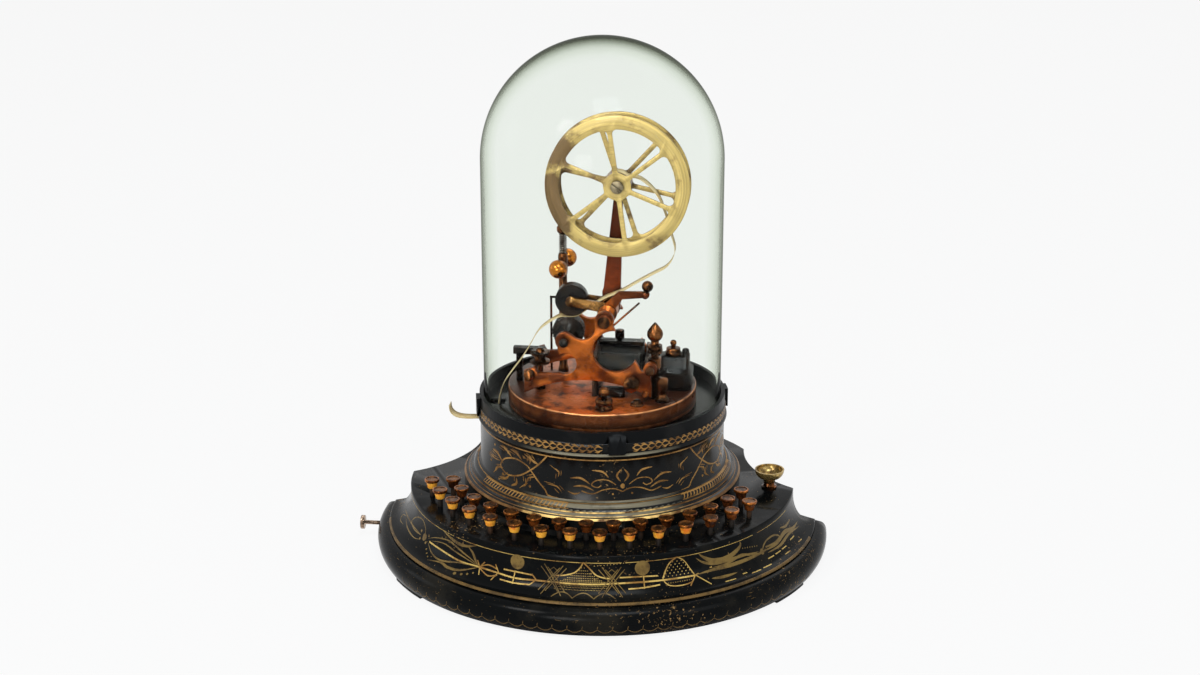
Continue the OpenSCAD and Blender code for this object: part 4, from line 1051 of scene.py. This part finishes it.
def drum_ornament():
    """Panel line with its loops and leaves, the spray, the braid and the foot's bands"""
    paint = Ornament(on_waist)
    top = BEAD_Z - 3.6
    paint.line(ring_points(top, -180, 180, 240)[:-1], 1.1, close=True)
    left_side = [(-32.3, top), (-36.2, 99.8), (-41.3, 92.6), (-48, 85.6), (-56, 82.8), (-61, 87.4),
                 (-57.8, 94.4), (-50.3, 98.2), (-43.5, 95.8), (-40.3, 91.2), (-37.4, 85.8), (-33.6, 79.8),
                 (-32, 75.6), (-27, 74.4)]
    for turned in (0, 180):
        for side in (left_side, mirrored(left_side, PANEL_MIDDLE)):
            paint.line([(u + turned, v) for u, v in spline(side, 8)], 1.25)
        centre = PANEL_MIDDLE + turned
        paint.line(ring_points(74.4, centre - 29.6, centre + 29.6, 60), 0.8)
        drum_leaves(paint, centre)
    spray(paint)
    paint.piece("drum_panel_lines", "drum_gold")
    braid_ornament()
    foot_ornament()


def drum_leaves(paint, centre):
    """Leaves and buds about the loops on both sides of a panel"""
    half = 34.9
    for side in (1, -1):
        def put(points, du=0, dv=0):
            return [(centre + side * (half + u + du), v + dv) for u, v in points]

        leaves = (
            (2, [(14, 99), (17, 103), (21.4, 104.4)]),
            (2, [(20, 98), (24.4, 102.6), (29, 103.6)]),
            (1.6, [(9.4, 97.4), (9, 101.8), (12.6, 104.6)]),
            (1.8, [(4, 98.6), (7.6, 100.6), (9.6, 104.2)]),
            (2, [(26.6, 90), (31, 95.6), (36, 97)]),
            (2, [(26.8, 86.6), (31.6, 84.4), (34.4, 79)]),
            (2, [(22, 83), (25, 78.6), (30, 77.4)]),
            (2, [(17.4, 83), (17.6, 78), (21, 75.2)]),
            (1.8, [(12, 85.4), (11.6, 80.4), (14.6, 77)]),
            (1.4, [(5.6, 88.6), (10, 86), (10.6, 82.4)]),
            (1.3, [(29, 91), (35, 90.4), (40, 92.6)]),
            (1.3, [(-2.6, 99), (-5.6, 96), (-5.4, 91.8)]),
            (1.2, [(0.4, 84.8), (-4.6, 84), (-7, 80.2)]),
        )
        for width, points in leaves:
            paint.strokes(((width, True, put(points)),
                           (0.6, True, put(points[:2], 1.3, 1.5)),
                           (0.55, True, put(points[1:], 1.2, -1.7)),
                           (0.5, True, put(points[1:], -1.3, 1.2))))
        for u, v, radius in ((22.6, 101, 1.3), (12.6, 101.6, 1.1), (27, 81.2, 1.3), (9.4, 79.4, 1.1),
                             (33.6, 101.6, 1), (30.4, 74.8, 0.9), (38, 86.6, 1)):
            paint.dot(centre + side * (half + u), v, radius)


def spray(paint):
    """A plain symmetrical spray in the middle of the front panel"""
    stems = (
        (0.9, False, [(0, 82), (4, 84.6), (9, 83.6), (13.6, 80.4), (18.6, 82.4)]),
        (0.9, False, [(3, 87.6), (7, 91.6), (12, 91.2), (14, 87.6), (11.4, 85.6), (9.4, 87.6)]),
        (1.7, True, [(14.6, 88), (19, 92.6), (24, 92)]),
        (1.6, True, [(13, 83), (17.6, 86.4), (22.4, 85.6)]),
        (1.6, True, [(6.4, 93.6), (9, 98.2), (14, 99.4)]),
        (1.7, True, [(0.8, 90), (2.6, 95), (0.5, 100.2)]),
        (1.3, True, [(19, 81), (22, 79.6), (25, 81.4)]),
    )
    for side in (1, -1):
        paint.strokes(((width, taper, [(PANEL_MIDDLE + side * u, v) for u, v in points])
                       for width, taper, points in stems))
    paint.dot(PANEL_MIDDLE, 86.4, 1.7, 1.2, 14)
    for u in (-4.4, 4.4):
        paint.dot(PANEL_MIDDLE + u, 80.2, 0.8)


def braid_ornament():
    """Braided leaves round the drum's upper band"""
    paint = Ornament(on_shoulder)
    middle, count = DRUM_TOP - 3.7, 104
    span = 360.0 / count
    for k in range(count):
        left = span * k
        if abs((left + span / 2 + 45) % 90 - 45) < LUG_HALF:
            continue
        for width, points in ((1.15, ((0, -0.6), (0.5, 1.9), (1.15, 0.7))),
                              (0.7, ((0.1, 2.4), (0.5, 2.9), (0.8, 2.2)))):
            for side in (1, -1):
                leaf = [(left + share * span, middle + side * v) for share, v in points]
                paint.line(spline(leaf), width, taper=True)
    paint.piece("braid_band", "drum_gold")


def foot_ornament():
    """Hatched bands and gold lines round the drum's foot"""
    step = Ornament(on_foot)
    step.line(ring_points(84, -180, 180, 300)[:-1], 0.8, close=True)
    for start, end in ((28, 76), (-74, -24), (104, 152), (-152, -104)):
        first, last = PANEL_MIDDLE + start, PANEL_MIDDLE + end
        outline = ring_points(70, first, last, 50) + ring_points(5, last, first, 50)
        step.line(outline, 1, close=True)
        count = int((last - first) / 1.9)
        for k in range(count):
            u = first + (last - first) * (k + 0.5) / count
            step.line([(u - 0.5, 10), (u + 0.15, 37), (u + 0.5, 64)], 1)
    step.piece("step_bands", "drum_gold")
    hollow = Ornament(on_hollow)
    hollow.line(ring_points(12, -180, 180, 300)[:-1], 1.2, close=True)
    hollow.line(ring_points(56, -180, 180, 300)[:-1], 0.7, close=True)
    # The hollow's and the plinth edge's gold lines carry a painted highlight at the front
    hollow.piece("hollow_lines", "foot_gold")
    edge = Ornament(on_plinth_edge)
    edge.line(ring_points(0, -180, 180, 300)[:-1], 2.1, close=True)
    edge.piece("plinth_edge_line", "foot_gold")


# Shapes of the pieces made anew

def glass_shade(wall):
    """Glass dome with an even wall and a rounded rim"""
    outer = high("glass_dome").x
    inner = outer - wall
    floor = low("glass_dome").z
    straight = high("glass_dome").z - outer
    levels = [floor + GLASS_RIM, floor + 2.0]
    levels += [floor + (straight - floor) * k / 6 for k in range(1, 6)] + [straight - 2.0]
    profile = [(outer - GLASS_RIM, floor)] + [(outer, z) for z in levels]
    profile += oval((0, straight), outer, outer, 0, 90, 48)[:-1] + [(0, straight + outer)]
    side = [(0, straight + inner)] + oval((0, straight), inner, inner, 90, 0, 48)[1:]
    side += [(inner, z) for z in reversed(levels)] + [(inner + GLASS_RIM, floor)]
    verts, faces, spans = lathe(profile + side, 192, loop=True)
    zones = [int(span >= len(profile)) for span in spans]
    piece = new_object("glass_shade", [v * MM for v in verts], faces, zones)
    smooth(piece, 30)
    carry(piece, "dome", slot_of("glass_dome"), "glass", "glass_inside")
    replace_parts(piece, "glass_dome")


def key_profile(rise):
    """Outline of one key from its stem's end to the middle of its top, down from the top's height"""
    return [
        (0.0, 36.7 - rise), (1.6, 36.7 - rise), (1.6, 44.7 - rise), (3.4, 44.7 - rise), (3.4, 47.7 - rise),
        (2.0, 47.7 - rise), (2.0, -7.4), (3.3, -7.4), (3.6, -7.0), (4.45, -2.4), (4.5, -2.2), (5.4, -2.2),
        (5.7, -1.8), (5.7, -0.55), (5.55, -0.15), (5.2, 0.0), (4.65, -0.05), (4.4, -0.5), (3.9, -0.62),
        (3.1, -0.45), (2.6, -0.5), (0.0, -0.42)]


def turned_key(node):
    """A key: thin stem, amber cup painted darker as painted shade in the inner row and on the right, dark
    rim and a dark dished top
    """
    top = high(node)
    middle = (low(node) + top) / 2
    profile = key_profile(top.z)
    place = Matrix.Translation(Vector((middle.x, middle.y, top.z)) * MM)
    # Painted shade: keys in the inner row or on the right get the darker cup
    worn = middle.x > WORN_KEYS_X or math.hypot(middle.x, middle.y) < INNER_ROW_R
    finishes = ("worn_key_brass" if worn else "key_brass", "key_rim", "key_top", "steel")
    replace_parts(turned_piece(node + "_turned", profile, place, node, finishes, KEY_ZONES, 48), node)


def pillar_zone():
    """Sorts the pillars' faces: frame bronze, the governor's dark column and wire, the lever's steel rod"""
    column = (low("governor") + high("governor")) / 2
    rod_end = high("reel_post").z
    near = low("press_lever").y - ROD_LEAD

    def zone(face):
        at = face.center / MM
        if at.x < column.x + COLUMN_REACH and at.y > column.y - COLUMN_REACH:
            return 1
        return 2 if at.x > ROD_X and BED_TOP + ROD_RISE < at.z < rod_end and at.y > near else 0

    return zone


# Stage

def lamp(name, place, size, power, colour):
    """A square lamp that looks at the object"""
    light = bpy.data.lights.new(name, "AREA")
    light.size = size
    light.energy = power
    light.color = colour
    holder = bpy.data.objects.new(name, light)
    holder.location = place
    holder.rotation_euler = look_at(place, LAMP_AIM)
    bpy.context.scene.collection.objects.link(holder)


def look_at(place, aim):
    """Turn that points a lamp or camera from a place to its aim"""
    return (Vector(aim) - Vector(place)).to_track_quat("-Z", "Y").to_euler()


def make_camera():
    """Camera at the photograph's viewing angle"""
    camera = bpy.data.cameras.new("camera")
    camera.lens = 69.67
    camera.sensor_width = 36.0
    camera.shift_x = -0.0019
    camera.shift_y = 0.0425
    eye = bpy.data.objects.new("camera", camera)
    eye.location = (0.1939, -1.6761, 0.7558)
    eye.rotation_euler = look_at(eye.location, CAMERA_AIM)
    bpy.context.scene.collection.objects.link(eye)
    bpy.context.scene.camera = eye


def seen_straight(tree):
    """One for rays that see the background: camera, gloss and glass"""
    path = add(tree, "LightPath").outputs
    some = calc(tree, "MAXIMUM", path["Is Camera Ray"], path["Is Glossy Ray"])
    return calc(tree, "MAXIMUM", some, path["Is Transmission Ray"])


def make_floor(white):
    """Pale paper floor that glows a little for what sees it and keeps the shadow"""
    reach = 8.0
    corners = [(-reach, -reach, 0), (reach, -reach, 0), (reach, reach, 0), (-reach, reach, 0)]
    floor = new_object("floor", corners, [[0, 1, 2, 3]])
    material, tree, shader = new_material("pale_floor")
    shader.inputs["Base Color"].default_value = (0.82, 0.82, 0.82, 1)
    shader.inputs["Roughness"].default_value = 1.0
    shader.inputs["Specular IOR Level"].default_value = 0.0
    glow = add(tree, "Emission", {"Color": (white, white, white, 1), "Strength": 1.0})
    both = add(tree, "MixShader", {0: calc(tree, "MULTIPLY", seen_straight(tree), 0.93),
                                   1: shader.outputs[0], 2: glow.outputs[0]})
    tree.links.new(both.outputs[0], tree.nodes["Material Output"].inputs["Surface"])
    floor.data.materials.append(material)


def make_world(white):
    """Soft even daylight, white where it is seen"""
    world = bpy.data.worlds.new("studio")
    bpy.context.scene.world = world
    world.use_nodes = True
    tree = world.node_tree
    tree.nodes.clear()
    lit = add(tree, "Background", {"Color": (0.95, 0.97, 1.0, 1), "Strength": 0.3})
    seen = add(tree, "Background", {"Color": (white, white, white, 1), "Strength": 1.0})
    both = add(tree, "MixShader", {0: seen_straight(tree), 1: lit.outputs[0], 2: seen.outputs[0]})
    tree.links.new(both.outputs[0], tree.nodes.new("ShaderNodeOutputWorld").inputs["Surface"])


# Properties that a user can change

class TickerBase(bpy.types.PropertyGroup):
    """Lacquer and gold of the base"""
    lacquer: FloatVectorProperty(name="Lacquer", description="Black japan of the base and drum",
                                 default=(0.0022, 0.0026, 0.0028), subtype="COLOR", size=3, min=0, max=1)
    gold: FloatVectorProperty(name="Gold", description="Painted ornament", default=(0.5, 0.34, 0.095),
                              subtype="COLOR", size=3, min=0, max=1)
    paint: FloatProperty(name="Paint", description="Height of the painted ornament above the lacquer",
                         default=0.00007, min=0.00002, max=0.0003, precision=5, unit="LENGTH")


class TickerDome(bpy.types.PropertyGroup):
    """Glass of the dome"""
    glass: FloatVectorProperty(name="Glass", description="Tint of the glass", default=(0.93, 0.955, 0.925),
                               subtype="COLOR", size=3, min=0, max=1)
    wall: FloatProperty(name="Wall", description="Thickness of the glass", default=0.003,
                        min=0.0015, max=0.004, precision=4, unit="LENGTH")


class TickerMovement(bpy.types.PropertyGroup):
    """Metals of the printing movement and keys"""
    bronze: FloatVectorProperty(name="Bronze", description="Lacquered frames and bedplate",
                                default=(0.5, 0.12, 0.024), subtype="COLOR", size=3, min=0, max=1)
    reel: FloatVectorProperty(name="Reel", description="Brushed brass of the reel",
                              default=(0.56, 0.405, 0.13), subtype="COLOR", size=3, min=0, max=1)
    key: FloatVectorProperty(name="Keys", description="Amber brass of the key cups",
                             default=(1.0, 0.46, 0.05), subtype="COLOR", size=3, min=0, max=1)
    edge: FloatProperty(name="Edges", description="Width of the frames' broken edges", default=0.0005,
                        min=0.0001, max=0.001, precision=4, unit="LENGTH")


class TickerStage(bpy.types.PropertyGroup):
    """Background and light"""
    white: FloatProperty(name="Background", description="Whiteness of the floor and background",
                         default=0.965, min=0, max=1, subtype="FACTOR")
    key_power: FloatProperty(name="Key light", description="Power of the main lamp", default=34.0,
                             min=0, max=400, unit="POWER")


# Operators, one for each piece or group of like pieces

class TICKER_OT_base(bpy.types.Operator):
    """Lacquered base with its board, feet, contacts and gold lining"""
    bl_idname = "ticker.base"
    bl_label = "Base"

    def execute(self, context):
        finish_node("base_body", "japan")
        finish_node("bottom_board", "board")
        finish_node("feet", "ring")
        finish_node("contact_strips", "brass")
        cove_ornament()
        edge_lines()
        return {"FINISHED"}


class TICKER_OT_drum(bpy.types.Operator):
    """Drum with its ornament, and the dome's seat ring"""
    bl_idname = "ticker.drum"
    bl_label = "Drum"

    def execute(self, context):
        least, most = MOULDING_LEAN

        def moulding(face):
            leans = least < face.normal.z < most
            return int(leans and DECK_Z < face.center.z / MM < DRUM_TOP - MOULDING_END)

        # The drum's mouldings take the lacquer with the painted highlight at the front
        finish_node("drum", "drum_japan", "rubbed_japan", zone=moulding)
        finish_node("dome_ring", "ring")
        drum_ornament()
        return {"FINISHED"}


class TICKER_OT_dome(bpy.types.Operator):
    """Glass dome"""
    bl_idname = "ticker.dome"
    bl_label = "Glass Dome"

    def execute(self, context):
        glass_shade(context.scene.ticker_dome.wall / MM)
        return {"FINISHED"}


class TICKER_OT_keys(bpy.types.Operator):
    """Both rows of keys"""
    bl_idname = "ticker.keys"
    bl_label = "Keys"

    def execute(self, context):
        for node in sorted(n for n in frame["nodes"] if n.startswith("key_")):
            turned_key(node)
        return {"FINISHED"}


class TICKER_OT_reel(bpy.types.Operator):
    """Reel with its hub, axle and post"""
    bl_idname = "ticker.reel"
    bl_label = "Reel"

    def execute(self, context):
        # The reel's faces that do not face along its axis take the darker brass, as painted shade
        finish_node("reel_discs", "reel_brass", "reel_side", bevel=0.25,
                    zone=lambda face: int(abs(face.normal.y) < SIDE_LEAN))
        finish_node("reel_hub", "brass")
        finish_node("reel_axle", "screw", bevel=0.2)
        finish_node("reel_post", "post", bevel=0.4)
        return {"FINISHED"}


class TICKER_OT_tape(bpy.types.Operator):
    """Paper tape"""
    bl_idname = "ticker.tape"
    bl_label = "Paper Tape"

    def execute(self, context):
        finish_node("paper_tape", "paper", angle=60.0)
        return {"FINISHED"}


class TICKER_OT_frames(bpy.types.Operator):
    """Bedplate, frames, pillars and tape guide"""
    bl_idname = "ticker.frames"
    bl_label = "Frames"

    def execute(self, context):
        rim = BED_TOP * MM - RIM_DROP
        finish_node("bedplate", "bed_top", "bed_side", bevel=0.4,
                    zone=lambda face: int(abs(face.normal.z) < SIDE_LEAN or face.center.z < rim))
        for node in ("front_frame", "back_frame"):
            finish_node(node, "frame_bronze", bevel=context.scene.ticker_movement.edge / MM)
        finish_node("frame_pillars", "frame_bronze", "dark_bronze", "steel", zone=pillar_zone())
        finish_node("tape_guide", "brass")
        return {"FINISHED"}


class TICKER_OT_printing(bpy.types.Operator):
    """Type wheels, press roller and its lever"""
    bl_idname = "ticker.printing"
    bl_label = "Printing Wheels"

    def execute(self, context):
        ball = (high("press_lever").z - BALL_DROP) * MM

        def arm_and_ball(face):
            return int(face.center.x > 0.0) + int(face.center.x > BALL_X and face.center.z > ball)

        finish_node("type_wheels", "rubber")
        finish_node("press_roller", "rubber")
        finish_node("press_lever", "brass", "frame_bronze", "dark_bronze", zone=arm_and_ball)
        return {"FINISHED"}


class TICKER_OT_governor(bpy.types.Operator):
    """Governor with its balls and spring"""
    bl_idname = "ticker.governor"
    bl_label = "Governor"

    def execute(self, context):
        axis = (low("governor") + high("governor")) / 2
        finish_node("governor", "dark_bronze", "ball",
                    zone=lambda face: int(abs(face.center.y / MM - axis.y) > COLUMN_REACH))
        finish_node("governor_spring", "spring", angle=70.0)
        return {"FINISHED"}


class TICKER_OT_magnet(bpy.types.Operator):
    """Magnet, armature and hard rubber blocks"""
    bl_idname = "ticker.magnet"
    bl_label = "Magnet"

    def execute(self, context):
        finish_node("magnet_coils", "winding")
        finish_node("magnet_cores", "steel")
        finish_node("armature", "steel", bevel=0.3)
        finish_node("insulator_blocks", "rubber")
        return {"FINISHED"}


class TICKER_OT_fittings(bpy.types.Operator):
    """Adjusters, binding posts, switch knob and side pull"""
    bl_idname = "ticker.fittings"
    bl_label = "Fittings"

    def execute(self, context):
        finish_node("adjusters", "dark_bronze")
        finish_node("binding_posts", "dark_bronze")
        finish_node("switch_knob", "knob")
        finish_node("side_pull", "rod")
        return {"FINISHED"}


class TICKER_OT_stage(bpy.types.Operator):
    """Pale floor, soft light and the camera"""
    bl_idname = "ticker.stage"
    bl_label = "Stage"

    def execute(self, context):
        look = context.scene.ticker_stage
        context.scene.view_settings.view_transform = "Standard"
        make_floor(look.white)
        make_world(look.white)
        for name, place, size, share, colour in LAMPS:
            lamp(name, place, size, look.key_power * share, colour)
        make_camera()
        return {"FINISHED"}


OPERATORS = (TICKER_OT_base, TICKER_OT_drum, TICKER_OT_dome, TICKER_OT_keys, TICKER_OT_reel, TICKER_OT_tape,
             TICKER_OT_frames, TICKER_OT_printing, TICKER_OT_governor, TICKER_OT_magnet, TICKER_OT_fittings,
             TICKER_OT_stage)
GROUPS = {"ticker_base": TickerBase, "ticker_dome": TickerDome, "ticker_movement": TickerMovement,
          "ticker_stage": TickerStage}


class TICKER_PT_panel(bpy.types.Panel):
    """Lists what can be changed and the ticker's pieces"""
    bl_label = "Stock Ticker"
    bl_idname = "TICKER_PT_panel"
    bl_space_type = "VIEW_3D"
    bl_region_type = "UI"
    bl_category = "Ticker"

    def draw(self, context):
        for name, group in GROUPS.items():
            for key in group.__annotations__:
                self.layout.prop(getattr(context.scene, name), key)
        for operator in OPERATORS:
            self.layout.operator(operator.bl_idname)


CLASSES = (*GROUPS.values(), *OPERATORS, TICKER_PT_panel)


def register():
    """Makes the properties, operators and panel known"""
    for item in CLASSES:
        bpy.utils.register_class(item)
    for name, group in GROUPS.items():
        setattr(bpy.types.Scene, name, PointerProperty(type=group))


def unregister():
    """Takes the properties, operators and panel away"""
    for name in GROUPS:
        delattr(bpy.types.Scene, name)
    for item in reversed(CLASSES):
        bpy.utils.unregister_class(item)


def main():
    """Builds the ticker and its stage"""
    register()
    make_materials()
    bpy.ops.ticker.base()
    bpy.ops.ticker.drum()
    bpy.ops.ticker.dome()
    bpy.ops.ticker.keys()
    bpy.ops.ticker.reel()
    bpy.ops.ticker.tape()
    bpy.ops.ticker.frames()
    bpy.ops.ticker.printing()
    bpy.ops.ticker.governor()
    bpy.ops.ticker.magnet()
    bpy.ops.ticker.fittings()
    bpy.ops.ticker.stage()


if __name__ == "__main__":
    main()
